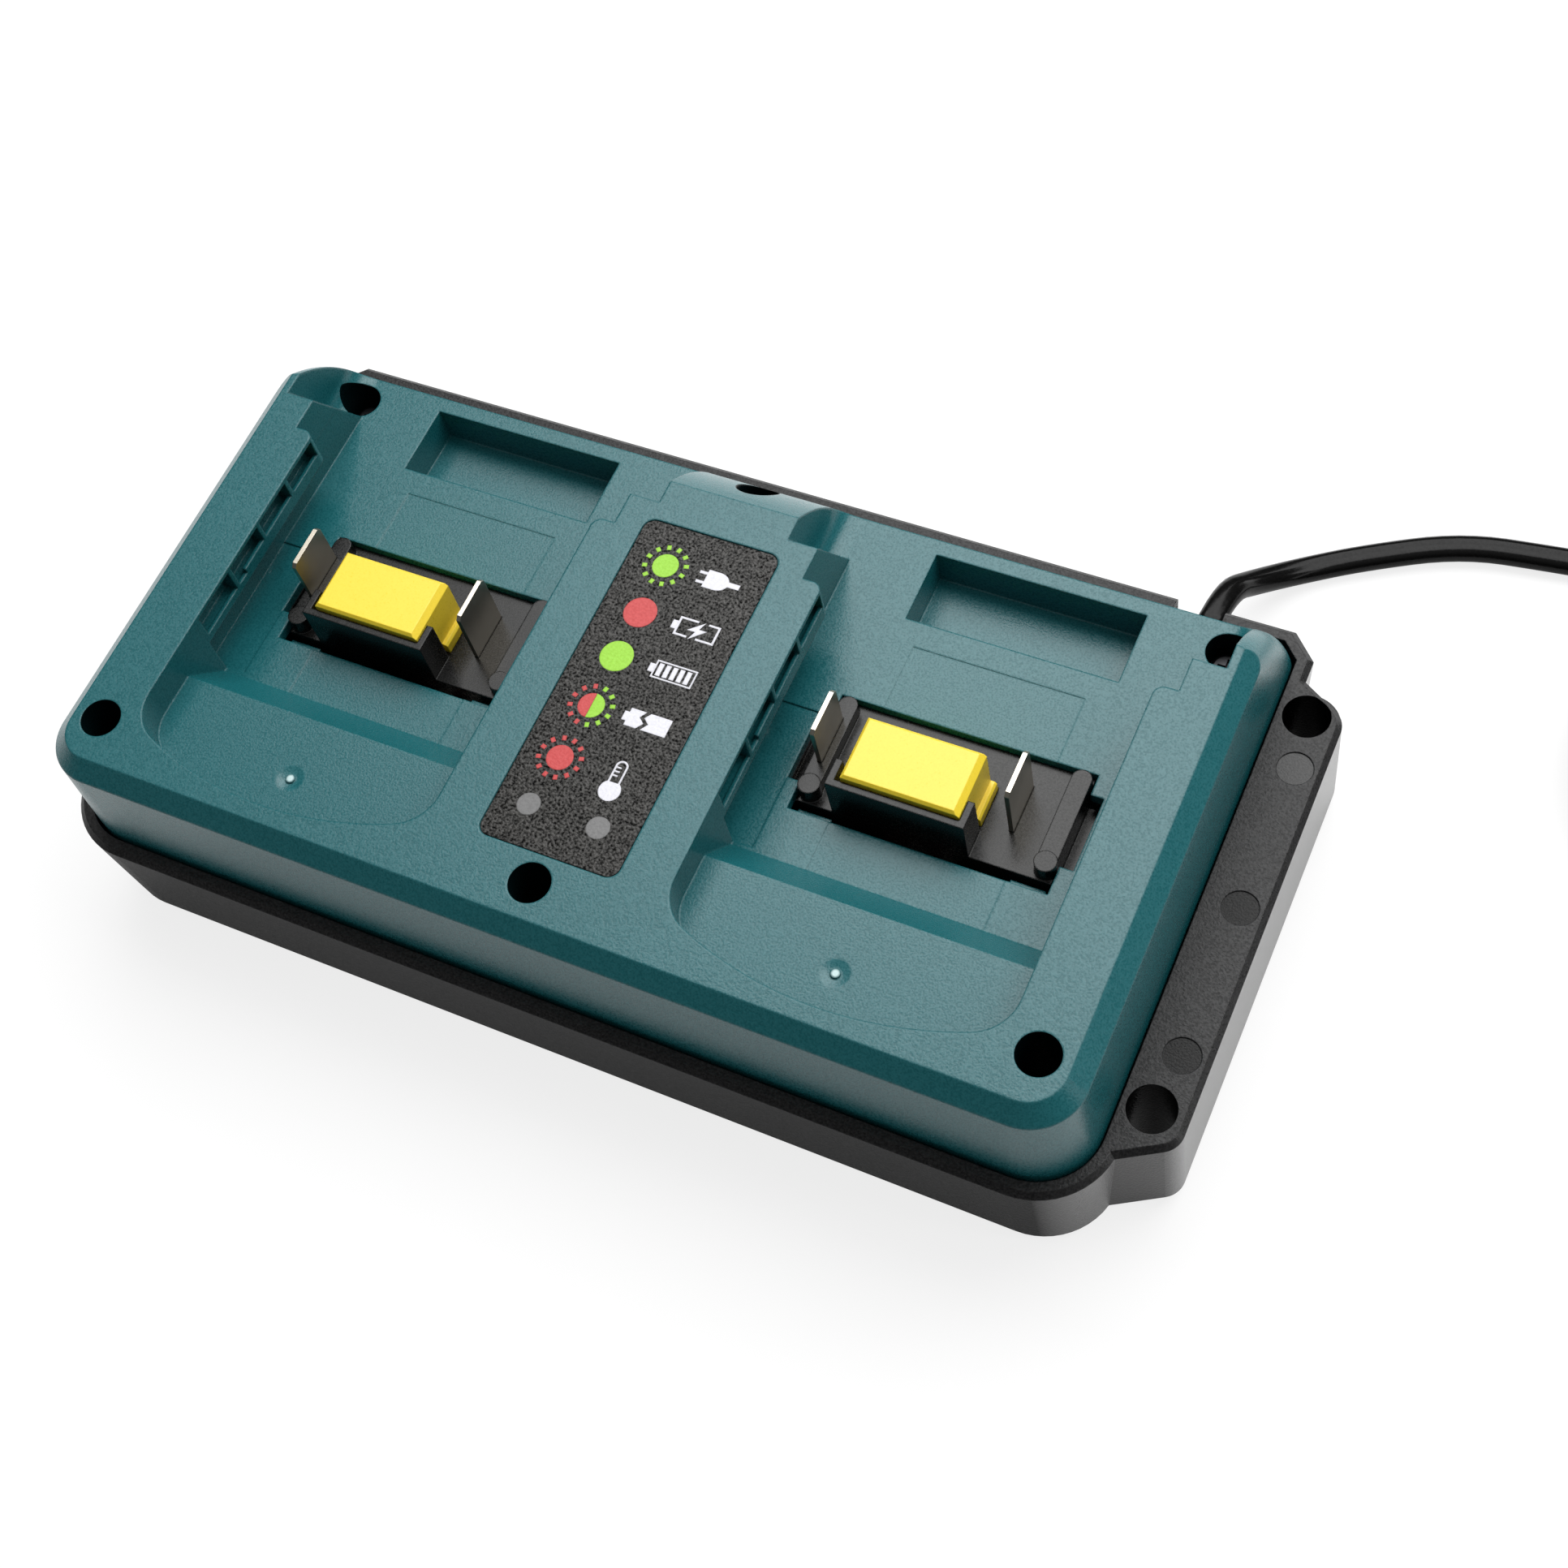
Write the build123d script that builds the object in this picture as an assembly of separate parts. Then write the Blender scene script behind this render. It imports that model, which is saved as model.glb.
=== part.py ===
from build123d import *
import math
import os

# Two-bay battery charger. Millimetres. The case frame has X = 0 midway between the two bays, Y = 0 midway
# between the front and back walls (batteries slide in from +Y) and Z = 0 on the table.

# Case heights
foot_drop = 1.5  # the rubber feet stand out of the base by this much
rim_height = 23.5  # base bottom to the rim's top
cover_rise = 20.0  # rim's top to the cover's top plane

# Base tray
case_length = 194.0
case_depth = 107.7
left_trim = 1.6  # the left wall stands this much nearer the middle than the right wall
base_wall = 2.6
base_floor = 2.4
base_draft = 1.1  # the walls lean in by this much from the rim down to the bottom
front_corner_radius = 13.6
back_corner_cut = 4.5
rim_bevel = 1.0
base_edge_bevel = 1.2

# Wall-mounting ear at the right end
ear_hole_radius = 3.9
ear_hole_beyond = 2.3  # from the case's end wall out to the holes' line
ear_hole_spacing = 72.2
ear_middle_y = 2.55
ear_corner_radius = 4.0
ear_corner_beyond = 4.2  # from the case's end wall out to the middles of the ear's round corners
ear_corner_front = -35.5
ear_corner_back = 38.2
ear_skin = 3.0
ear_wall = 1.7
ear_root_run = 16.1  # from a corner back to the root circle that sets the ear's slanted end
ear_root_spread = 10.5
ear_root_radius = 3.0
ejector_mark_radius = 3.0
ejector_mark_depth = 0.2
ejector_mark_pitch = 26.4

# Top cover
cover_gap = 0.4  # between the cover's skirt and the base's rim
cover_tuck = 1.5  # the skirt reaches this far down inside the rim
cover_wall = 2.2
skirt_corner_radius = 10.7
least_skirt_corner = 1.0  # the smallest corner left where the form is moved inwards
skirt_draft = 1.6
shoulder_drop = 3.0
shoulder_run = 3.1
shoulder_reach = 2.0  # the shoulder's cut is carried on down by this many of its own heights
back_slope_run = 14.65  # from the skirt's foot in to the top plane's back edge
back_arc_radius = 38.2
back_corner_round = 4.5
least_back_round = 0.8

# Battery bays, measured from each bay's middle
bay_from_end = 47.0  # from the case's end wall to a bay's middle
bay_depth = 15.2
lip_half_gap = 28.65
rail_half_gap = 32.4
lip_height = 7.2
bay_front = -17.05
rail_front = -16.3
notch_half_gap = 32.35
notch_front = 25.45
notch_round = 1.8
entry_half_gap = 37.9
entry_front = 31.65  # where the entry's slanted end starts at the top plane
entry_foot = 40.0  # where it meets the bay's floor
entry_round = 4.5  # between the entry's side walls and the floor
ramp_run = 6.5
ramp_wall_share = 0.2  # of the wall's thickness, behind the ramp's foot
finger_depth = 6.8
finger_front = -43.2
finger_arc_radius = 64.0
finger_corner_radius = 8.0
pocket_width = 38.0
pocket_shift = 0.5
pocket_front = 32.15
pocket_back = 45.7
pocket_depth = 7.3
lip_groove_depth = 2.9
lip_groove_top = 0.8
lip_groove_sill = 0.8  # wall in front of the deeper well inside each slot
lip_groove_well = 6.2  # top plane to the well's floor
lip_groove_front = -15.4
lip_groove_step = -2.0
lip_groove_back = 23.8
lip_groove_low_front = 5.6
lip_groove_low_back = 4.6
groove_rib = 0.9
groove_rib_places = [-5.0, 5.0, 14.8]
floor_mark_depth = 0.08
floor_mark_left = -15.1
floor_mark_right = 15.6
floor_mark_back = 27.4
floor_step_depth = 0.25
floor_step_back = 10.5
gate_mark_radius = 2.4
gate_mark_depth = 0.35
gate_nub_radius = 0.8
gate_mark_x = -0.8
gate_mark_y = -34.8

# Opening for the terminal block in each bay's floor
window_half_width = 22.7
window_front = -7.75
window_back = 14.8
window_ear_half = 25.0
window_ear_front = -2.55
window_ear_back = 11.05

# Terminal blocks, which float along Y
float_travel = 0.8
slide_gap = 0.1
plate_drop = 3.8  # plate's top below the bay floor
plate_thickness = 2.5
plate_half_width = 22.2
plate_front = -5.3
plate_back = 16.4
deck_rise = 2.3  # raised part of the plate that stands in the floor's window
deck_back = 14.65
wing_half_width = 27.5
wing_front = -2.5
wing_back = 11.0
wing_step = 0.8
bar_x = 20.6
bar_width = 3.4
bar_front = -4.8
bar_back = 14.4
bar_height = 5.0
bar_pin_radius = 1.9
bar_pin_rise = 0.4
hood_left = -15.9
hood_right = 8.1
hood_front = -5.25
hood_return = 4.9
hood_wall = 1.2
hood_height = 12.0
guide_pad_width = 2.0

# Yellow signal connectors
signal_left = -13.65
signal_right = 6.85
signal_front = -3.85
signal_back = 7.85
signal_height = 13.4
signal_edge = 0.5
signal_right_edge = 1.0
signal_step_run = 1.1
signal_step_front = 0.6
signal_step_rise = 4.4
signal_step_edge = 0.4
signal_clearance = 0.1
signal_plug_depth = 1.5

# Terminal blades
blade_thickness = 0.8
blade_front = 1.3
blade_back = 10.1
blade_height = 14.6
blade_tail = 3.5
blade_corner = 0.7
blade_clearance = 0.03
left_blade_x = -20.66
right_blade_x = 12.9

# Retainer under each block
retainer_thickness = 2.0
retainer_depth = 15.0
retainer_y = 4.2
retainer_boss_x = 30.5
retainer_boss_radius = 2.6
retainer_window_width = 46.0
retainer_window_margin = 0.5  # round the blades' tails over their travel
stop_width = 6.0
stop_thickness = 2.2
stop_inset = 0.5  # from the plate's end to the stop rib's end

# Screws
end_screw_inset = 12.85  # the wells' places, from the base's walls
front_screw_inset = 15.45
middle_screw_inset = 13.75
back_screw_inset = 10.6
well_radius = 3.5
well_wall = 1.8
well_floor = 2.0
well_foot_drop = 4.0  # the wells stop this far below the rim's top
case_screw_radius = 1.5
case_screw_length = 14.0
small_screw_radius = 1.2
small_screw_length = 6.0
retainer_screw_length = 7.0
board_screw_gap = 0.5  # from a board screw's end to the base's floor
screw_head_ratio = 1.9  # head radius over shank radius, and so on for the next six
screw_head_share = 1.2
screw_dome_share = 0.45
screw_cross_reach = 1.1
screw_cross_half = 0.22
screw_cross_floor = 0.6
screw_tip_share = 0.5
thread_clearance = 0.05
through_clearance = 0.25
boss_radius = 4.8

# Label and the two lamp windows
label_half_width = 12.5
label_front = -34.95
label_back = 28.1
label_corner = 2.0
label_thickness = 0.3
label_recess = 0.4
label_gap = 0.15
lamp_y = -27.7
lamp_left_x = -6.65
lamp_right_x = 5.95
lamp_radius = 2.0
lamp_hole_clearance = 0.15
indicator_board_drop = 11.0
indicator_board_width = 26.0
indicator_board_depth = 12.0
indicator_board_corner = 1.0
indicator_post_x = 10.2
indicator_post_radius = 2.4
lamp_body_radius = 1.5
lamp_body_height = 3.2

# Main circuit board and what stands on it
board_end_gap = 21.0  # from the case's end walls to the board
board_depth = 68.0
board_thickness = 1.6
board_height = 8.0  # underside above the table
board_y = 0.5
board_corner = 1.5
board_hole_inset = 4.0
standoff_radius = 3.4
core_width = 26.0
core_depth = 28.0
core_height = 20.0
core_leg = 6.0
core_yoke = 4.0
leg_clearance = 0.02
winding_gap = 0.3
winding_overhang = 3.0
winding_round = 2.4
transformer_y = 8.0
cap_edge_share = 0.12  # of the can's radius: its rounded edge, rolled groove and sunk top
cap_groove_low = 0.3
cap_groove_high = 0.45
cap_groove_radius = 0.92
cap_top_radius = 0.75
cap_top_sink = 0.3
bulk_cap_radius = 8.0
bulk_cap_height = 17.0
bulk_cap_x = 24.0
bulk_cap_y = -23.5
small_cap_radius = 4.0
small_cap_height = 8.5
small_cap_x = 66.0
small_cap_pitch = 10.0
small_cap_y = -20.0
heatsink_length = 30.0
heatsink_depth = 9.0
heatsink_height = 9.5
heatsink_base = 2.0
heatsink_fin = 1.2
heatsink_fins = 6
heatsink_x = 50.0
heatsink_y = 20.0
diode_width = 10.0
diode_thickness = 4.0
diode_height = 8.5
diode_edge = 0.6
choke_radius = 6.0
choke_section = 2.5
choke_x = 25.0
choke_y = 20.0
fuse_radius = 2.6
fuse_length = 20.0
fuse_lift = 0.6  # under the fuse's glass
fuse_x = 55.0
fuse_y = 30.0
clip_length = 4.0
clip_wall = 0.8
clip_rise = 0.4  # of the fuse's radius, above its axis
clip_fit = 0.02
socket_edge = 0.5
socket_width = 12.0
socket_depth = 6.0
socket_height = 4.5
socket_x = 46.0  # each bay's socket, from the case's middle
socket_y = -10.0
socket_pitch = 5.0

# Rubber feet
foot_radius = 6.0
foot_sink = 1.0
foot_fit = 0.02
foot_end_inset = 17.0
foot_side_inset = 17.85

# Insulated leads and the ribbon inside the case
lead_radius = 1.1
lead_bend = 1.5
lead_drop = 3.2  # from a blade's tail down to the lead's level run
lead_air = 0.3  # between a blade's tail and its lead
ribbon_width = 6.0
ribbon_thickness = 0.8
supply_socket_x = 72.8
supply_socket_y = 20.0
supply_socket_width = 6.0
supply_socket_depth = 9.0
supply_socket_height = 6.2
supply_lead_bend = 4.0
supply_lead_turn = 36.0  # where the supply lead leaves the cord's line and where it meets its socket's
supply_lead_return = 30.5

# Mains cord, a flat twin, with its gland, coil and plug
cord_width = 5.0
cord_thickness = 3.4
cord_bend_share = 0.45
table_gap = 0.05
cord_exit_inset = 20.8  # from the right end wall
cord_exit_z = 13.0
gland_inner = 5.0
gland_outer = 2.0
gland_root_radius = 4.2
gland_tip_radius = 2.9
gland_flange_radius = 5.4
gland_flange = 1.8
gland_top_drop = 7.2
gland_clearance = 0.05
coil_x = 172.5
coil_y = 68.5
coil_turn_radius = 26.0
coil_turns_wide = 3
coil_turns_high = 4
coil_corner = 3.0
tie_width = 8.0
tie_thickness = 0.8
plug_length = 34.0
plug_width = 25.0
plug_thickness = 16.0
plug_corner = 5.0
plug_shoulder = 2.5
plug_neck_length = 22.0
plug_neck_radius = 5.0
prong_length = 17.0
prong_width = 6.4
prong_thickness = 1.5
prong_pitch = 12.7

# Derived heights and half sizes
base_bottom = foot_drop
base_floor_top = base_bottom + base_floor
rim_top = base_bottom + rim_height
top_plane = rim_top + cover_rise
bay_floor = top_plane - bay_depth
finger_floor = top_plane - finger_depth
floor_underside = bay_floor - cover_wall
skirt_foot = rim_top - cover_tuck
well_foot = rim_top - well_foot_drop
half_length = case_length / 2
half_depth = case_depth / 2
bay_middle = half_length - bay_from_end
skirt_half_x = half_length - base_wall - cover_gap
skirt_half_y = half_depth - base_wall - cover_gap
ear_hole_x = half_length + ear_hole_beyond
ear_corner_x = half_length + ear_corner_beyond
ear_reach = ear_corner_beyond + ear_corner_radius
ear_hole_places = [ear_middle_y - ear_hole_spacing / 2, ear_middle_y + ear_hole_spacing / 2]
part_shift = (ear_reach + left_trim) / 2  # puts the origin midway between the left wall and the ear's edge
cover_left = left_trim - skirt_half_x
plate_top = bay_floor - plate_drop
plate_bottom = plate_top - plate_thickness
retainer_top = plate_bottom - slide_gap
board_top = board_height + board_thickness
board_length = case_length - 2 * board_end_gap
cord_exit_x = half_length - cord_exit_inset
end_screw_x = half_length - end_screw_inset
front_screw_y = front_screw_inset - half_depth
back_screw_y = half_depth - back_screw_inset
screw_places = [
    (-end_screw_x, front_screw_y),
    (0.0, middle_screw_inset - half_depth),
    (end_screw_x, front_screw_y),
    (-end_screw_x, back_screw_y),
    (0.0, back_screw_y),
    (end_screw_x, back_screw_y),
]
bays = {"left": -bay_middle, "right": bay_middle}
above = top_plane + 10.0  # a height clear of the top, for cuts that open upwards
below = base_bottom - 10.0
overcut = 0.5  # a cut runs this far past the face that it opens


def block(low, high):
    """A box from its lowest corner to its highest."""
    size = [h - l for l, h in zip(low, high)]
    middle = [(l + h) / 2 for l, h in zip(low, high)]
    return Pos(*middle) * Box(*size)


def post(x, y, bottom, top, radius):
    """An upright cylinder between two heights."""
    return Pos(x, y, (bottom + top) / 2) * Cylinder(radius, top - bottom)


def prism(outline, bottom, top):
    """An outline in the XY plane pulled up between two heights."""
    return Pos(0, 0, bottom) * extrude(outline, top - bottom)


def stack(heights, outlines):
    """Straight walls from each outline to the next one above it."""
    sheets = [Pos(0, 0, height) * outline for height, outline in zip(heights, outlines)]
    body = loft(sheets[:2], ruled=True)
    for pair in zip(sheets[1:], sheets[2:]):
        body += loft(list(pair), ruled=True)
    return body


def screw(x, y, seat, radius, length, up=1):
    """A pan-head screw whose head stands on the seat; up = -1 hangs it head down."""
    head_height = radius * screw_head_share
    head = Pos(0, 0, head_height / 2) * Cylinder(radius * screw_head_ratio, head_height)
    top = head.faces().sort_by(Axis.Z)[-1]
    head = fillet(top.edges(), radius * screw_dome_share)
    arm = radius * screw_cross_reach
    half = radius * screw_cross_half
    slot = block((-arm, -half, radius * screw_cross_floor), (arm, half, above))
    head = head - slot - Rot(0, 0, 90) * slot
    shank = Pos(0, 0, -length / 2) * Cylinder(radius, length)
    tip = shank.faces().sort_by(Axis.Z)[0]
    shank = chamfer(tip.edges(), radius * screw_tip_share)
    whole = head + shank
    if up < 0:
        whole = Rot(180, 0, 0) * whole
    return Pos(x, y, seat) * whole


def save(node, shape):
    """Write one node, moved from the case frame to the part's own frame."""
    pieces = shape if isinstance(shape, list) else [shape]
    placed = [Pos(-part_shift, 0, 0) * piece for piece in pieces]
    export_step(Compound(children=placed) if len(placed) > 1 else placed[0], f"parts/{node}.step")


# ---- outlines -------------------------------------------------------------------------------------------


def case_outline(inset):
    """The base's outline without its ear: round corners in front, cut corners at the back."""
    sheet = Rectangle(case_length - left_trim - 2 * inset, case_depth - 2 * inset)
    front = sheet.vertices().group_by(Axis.Y)[0]
    sheet = fillet(front, front_corner_radius - inset)
    back = sheet.vertices().group_by(Axis.Y)[-1]
    return Pos(left_trim / 2, 0) * chamfer(back, back_corner_cut - inset * (2 - math.sqrt(2)))


def ear_outline(inset):
    """The ear's outline, from four circles: its two round corners and two rooted inside the case."""
    rings = []
    for y, side in ((ear_corner_front, -1), (ear_corner_back, 1)):
        rings.append(Pos(ear_corner_x, y) * Circle(ear_corner_radius - inset))
        root = Pos(ear_corner_x - ear_root_run, y + side * ear_root_spread)
        rings.append(root * Circle(ear_root_radius - inset))
    return make_hull([edge for ring in rings for edge in ring.edges()])


def finger_outline(grow):
    """The half-moon recess in front of a bay, drawn about the bay's middle."""
    half = lip_half_gap + grow
    front = finger_front - grow
    radius = finger_arc_radius + grow
    shoulder = front + radius - math.sqrt(radius**2 - half**2)
    back = bay_front
    arc = ThreePointArc((-half, shoulder), (0, front), (half, shoulder))
    sides = Polyline((half, shoulder), (half, back), (-half, back), (-half, shoulder))
    sheet = make_face(arc.edges() + sides.edges())
    corners = sheet.vertices().group_by(Axis.Y)[0]
    return fillet(corners, finger_corner_radius + grow)


# ---- top cover ------------------------------------------------------------------------------------------


def cover_row(height, inset, lean):
    """The cover's outline at one height, its front and ends moved in; its back lies behind the real one."""
    low_x = inset + max(lean - skirt_half_x, cover_left)
    high_x = skirt_half_x - inset - lean
    front = inset + lean - skirt_half_y
    middle = Pos((low_x + high_x) / 2, (front + half_depth) / 2)
    sheet = middle * Rectangle(high_x - low_x, half_depth - front)
    corners = sheet.vertices().group_by(Axis.Y)[0]
    corner = max(skirt_corner_radius - inset - lean, least_skirt_corner)
    return Pos(0, 0, height) * fillet(corners, corner)


def cover_form(inset, foot):
    """The cover's outer form, or that form moved inwards: drafted walls, a shoulder and a barrelled back."""
    rise = inset * math.tan(math.radians(22.5))
    top = top_plane - inset
    knee = top_plane - shoulder_drop - rise
    head_lean = skirt_draft * (top - foot) / (knee - foot)
    form = loft([cover_row(foot, inset, 0.0), cover_row(top, inset, head_lean)], ruled=True)

    # the back is one arc from the skirt's foot to the top plane's back edge
    chord = math.hypot(back_slope_run, top_plane - skirt_foot)
    to_middle = math.sqrt(back_arc_radius**2 - chord**2 / 4)
    barrel_y = skirt_half_y - back_slope_run / 2 - to_middle * (top_plane - skirt_foot) / chord
    barrel_z = (top_plane + skirt_foot) / 2 - to_middle * back_slope_run / chord
    barrel = Pos(0, barrel_y, barrel_z) * Rot(0, 90, 0) * Cylinder(back_arc_radius - inset, case_length)
    form = form & (barrel + block((-half_length, -half_depth, below), (half_length, barrel_y, above)))
    corners = [e for e in form.edges().filter_by(Axis.X, reverse=True) if e.center().Y > barrel_y]
    corners = [e for e in corners if e.bounding_box().size.Z > shoulder_drop]
    form = fillet(corners, max(back_corner_round - inset, least_back_round))

    # the shoulder is the same slope along the front and both ends
    deep = knee - shoulder_reach * shoulder_drop
    wide = skirt_draft - shoulder_reach * shoulder_run
    rows = [
        cover_row(deep, inset, wide),
        cover_row(knee, inset, skirt_draft),
        cover_row(top, inset, skirt_draft + shoulder_run),
    ]
    cap = loft(rows[:2], ruled=True) + loft(rows[1:], ruled=True)
    return form & (cap + prism(cover_row(0.0, inset, wide), foot - overcut, deep))


def bay_space(grow):
    """The room a battery takes in one bay, about the bay's middle; grow adds the wall round it."""
    floor = bay_floor - grow
    back = half_depth + grow
    rail_top = above if grow else top_plane - lip_height
    rail = block((-rail_half_gap - grow, rail_front - grow, floor), (rail_half_gap + grow, back, rail_top))
    throat = block((-lip_half_gap - grow, bay_front - grow, floor), (lip_half_gap + grow, back, above))
    notch = block((-notch_half_gap - grow, notch_front - grow, floor), (notch_half_gap + grow, back, above))
    entry_lean = (entry_foot - entry_front) / bay_depth
    entry_side = Plane.YZ * Polygon(
        (entry_foot - grow + entry_lean * grow, floor),
        (back, floor),
        (back, above),
        (entry_front - grow - entry_lean * (above - top_plane), above),
        align=None,
    )
    entry = extrude(entry_side, entry_half_gap + 2 * grow, both=True)  # its walls run on into the skirt
    entry = fillet(entry.edges().filter_by(Axis.Y).group_by(Axis.Z)[0], entry_round + grow)
    finger = prism(finger_outline(grow), finger_floor - grow, above)
    wedge = Plane.YZ * Polygon(
        (bay_front + grow * ramp_wall_share, floor),
        (bay_front - ramp_run - grow, finger_floor - grow),
        (bay_front - ramp_run - grow, above),
        (bay_front + grow * ramp_wall_share, above),
        align=None,
    )
    ramp = extrude(wedge, lip_half_gap + grow, both=True)
    pocket_left = pocket_shift - pocket_width / 2 - grow
    pocket_right = pocket_shift + pocket_width / 2 + grow
    pocket_floor = bay_floor - pocket_depth - grow
    pocket = block(
        (pocket_left, pocket_front - grow, pocket_floor),
        (pocket_right, pocket_back + grow, bay_floor + overcut),
    )
    return rail + throat + notch + entry + finger + ramp + pocket


def lip_grooves():
    """The cored slots in both lips of a bay, with their ribs, about the bay's middle."""
    reach = lip_half_gap + lip_groove_depth
    sill = lip_half_gap + lip_groove_sill
    roof = top_plane - lip_groove_top
    front_floor = top_plane - lip_groove_low_front
    back_floor = top_plane - lip_groove_low_back
    well_floor_z = top_plane - lip_groove_well
    grooves = block((-reach, lip_groove_front, front_floor), (reach, lip_groove_step, roof))
    grooves += block((-reach, lip_groove_step, back_floor), (reach, lip_groove_back, roof))
    wells = block((-reach, lip_groove_front, well_floor_z), (reach, lip_groove_back, roof))
    grooves += wells - block((-sill, lip_groove_front, well_floor_z), (sill, lip_groove_back, roof))
    for place in groove_rib_places:
        low = (-reach, place - groove_rib / 2, well_floor_z)
        grooves -= block(low, (reach, place + groove_rib / 2, roof))
    return grooves


def floor_window():
    """The opening in a bay's floor that the terminal block stands in."""
    low = floor_underside - overcut
    high = bay_floor + overcut
    main = block((-window_half_width, window_front, low), (window_half_width, window_back, high))
    ears = block((-window_ear_half, window_ear_front, low), (window_ear_half, window_ear_back, high))
    return main + ears


def floor_marks():
    """Shallow tool marks on a bay's floor and the gate mark in its finger recess."""
    high = bay_floor + overcut
    strip_low = (floor_mark_left, bay_front, bay_floor - floor_mark_depth)
    strip = block(strip_low, (floor_mark_right, floor_mark_back, high))
    step_low = (-rail_half_gap, rail_front, bay_floor - floor_step_depth)
    step = block(step_low, (-window_ear_half, floor_step_back, high))
    dimple_floor = finger_floor - gate_mark_depth
    low = dimple_floor - overcut
    ball = (gate_mark_radius**2 + gate_mark_depth**2) / (2 * gate_mark_depth)
    dimple = post(gate_mark_x, gate_mark_y, low, finger_floor + overcut, 2 * gate_mark_radius)
    dimple = dimple & (Pos(gate_mark_x, gate_mark_y, dimple_floor + ball) * Sphere(ball))
    nub = post(gate_mark_x, gate_mark_y, low, finger_floor, gate_nub_radius)
    return strip + step + (dimple - nub)


def notch_rounding():
    """What is cut from a lip's back corners to round them, about the bay's middle."""
    cuts = Part()
    for side in (-1, 1):
        x = side * (lip_half_gap + notch_round)
        y = notch_front - notch_round
        low = (min(x, side * lip_half_gap), y, top_plane - lip_height)
        high = (max(x, side * lip_half_gap), notch_front, above)
        cuts += block(low, high) - post(x, y, top_plane - lip_height, above, notch_round)
    return cuts


def under_floor():
    """Bosses, stop ribs and pads under one bay's floor that carry the retainer and guide the block."""
    parts = Part()
    root = floor_underside + overcut
    front_stop = plate_front - float_travel - slide_gap
    back_stop = plate_back + slide_gap
    stops = ((front_stop - stop_thickness, front_stop), (back_stop, back_stop + stop_thickness))
    for side in (-1, 1):
        parts += post(side * retainer_boss_x, retainer_y, retainer_top, root, retainer_boss_radius)
        stop_x = side * (plate_half_width - stop_inset - stop_width / 2)
        for near, far in stops:
            low = (stop_x - stop_width / 2, near, plate_bottom)
            parts += block(low, (stop_x + stop_width / 2, far, root))
    return parts


def retainer_pilots():
    """Pilot holes for a bay's two retainer screws."""
    holes = Part()
    top = retainer_top + small_screw_length
    pilot = small_screw_radius + thread_clearance
    for side in (-1, 1):
        holes += post(side * retainer_boss_x, retainer_y, retainer_top - overcut, top, pilot)
    return holes


def label_room(gap, bottom, top):
    """The label's own outline with a gap round it, between two heights."""
    width = 2 * (label_half_width + gap)
    depth = label_back - label_front + 2 * gap
    sheet = Pos(0, (label_front + label_back) / 2) * RectangleRounded(width, depth, label_corner + gap)
    return prism(sheet, bottom, top)


indicator_top = top_plane - indicator_board_drop
lamp_places = [(lamp_left_x, lamp_y), (lamp_right_x, lamp_y)]


def top_cover():
    outer = cover_form(0.0, skirt_foot)
    cover = outer - cover_form(cover_wall, skirt_foot - overcut)
    inside_y = skirt_half_y - cover_wall
    inside_low = (cover_left + cover_wall, -inside_y, base_floor_top)
    envelope = outer + block(inside_low, (skirt_half_x - cover_wall, inside_y, skirt_foot + overcut))
    for middle in bays.values():
        cover += (Pos(middle, 0, 0) * bay_space(cover_wall)) & envelope
        cover += Pos(middle, 0, 0) * under_floor()
    for x, y in screw_places:
        cover += post(x, y, well_foot, top_plane, well_radius + well_wall) & envelope
    for x in (-indicator_post_x, indicator_post_x):
        cover += post(x, lamp_y, indicator_top, top_plane - overcut, indicator_post_radius)
    for middle in bays.values():
        cuts = bay_space(0.0) + lip_grooves() + floor_window() + floor_marks()
        cuts = cuts + notch_rounding() + retainer_pilots()
        cover -= Pos(middle, 0, 0) * cuts
    for x, y in screw_places:
        cover -= post(x, y, well_foot + well_floor, above, well_radius)
        cover -= post(x, y, well_foot - overcut, above, case_screw_radius + through_clearance)
    cover -= label_room(label_gap, top_plane - label_recess, above)
    for x, y in lamp_places:
        cover -= post(x, y, indicator_top, above, lamp_radius + lamp_hole_clearance)
    pilot_top = indicator_top + small_screw_length
    for x in (-indicator_post_x, indicator_post_x):
        cover -= post(x, lamp_y, indicator_top - overcut, pilot_top, small_screw_radius + thread_clearance)
    return cover


# ---- base tray ------------------------------------------------------------------------------------------

board_screw_places = [
    (sx * (board_length / 2 - board_hole_inset), board_y + sy * (board_depth / 2 - board_hole_inset))
    for sx in (-1, 1)
    for sy in (-1, 1)
]
foot_x = half_length - foot_end_inset
foot_y = half_depth - foot_side_inset
foot_places = [(sx * foot_x, sy * foot_y) for sx in (-1, 1) for sy in (-1, 1)]
ear_mark_x = half_length + ear_reach / 2 - rim_bevel / 2


def gland_slot():
    """The slot from the rim down through the back wall that the gland drops into."""
    radius = gland_root_radius + gland_clearance
    low = (cord_exit_x - radius, half_depth - 2 * base_wall, cord_exit_z)
    slot = block(low, (cord_exit_x + radius, half_depth + 2 * base_wall, above))
    seat = Pos(cord_exit_x, half_depth, cord_exit_z) * Rot(90, 0, 0)
    return slot + seat * Cylinder(radius, 4 * base_wall)


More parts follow.
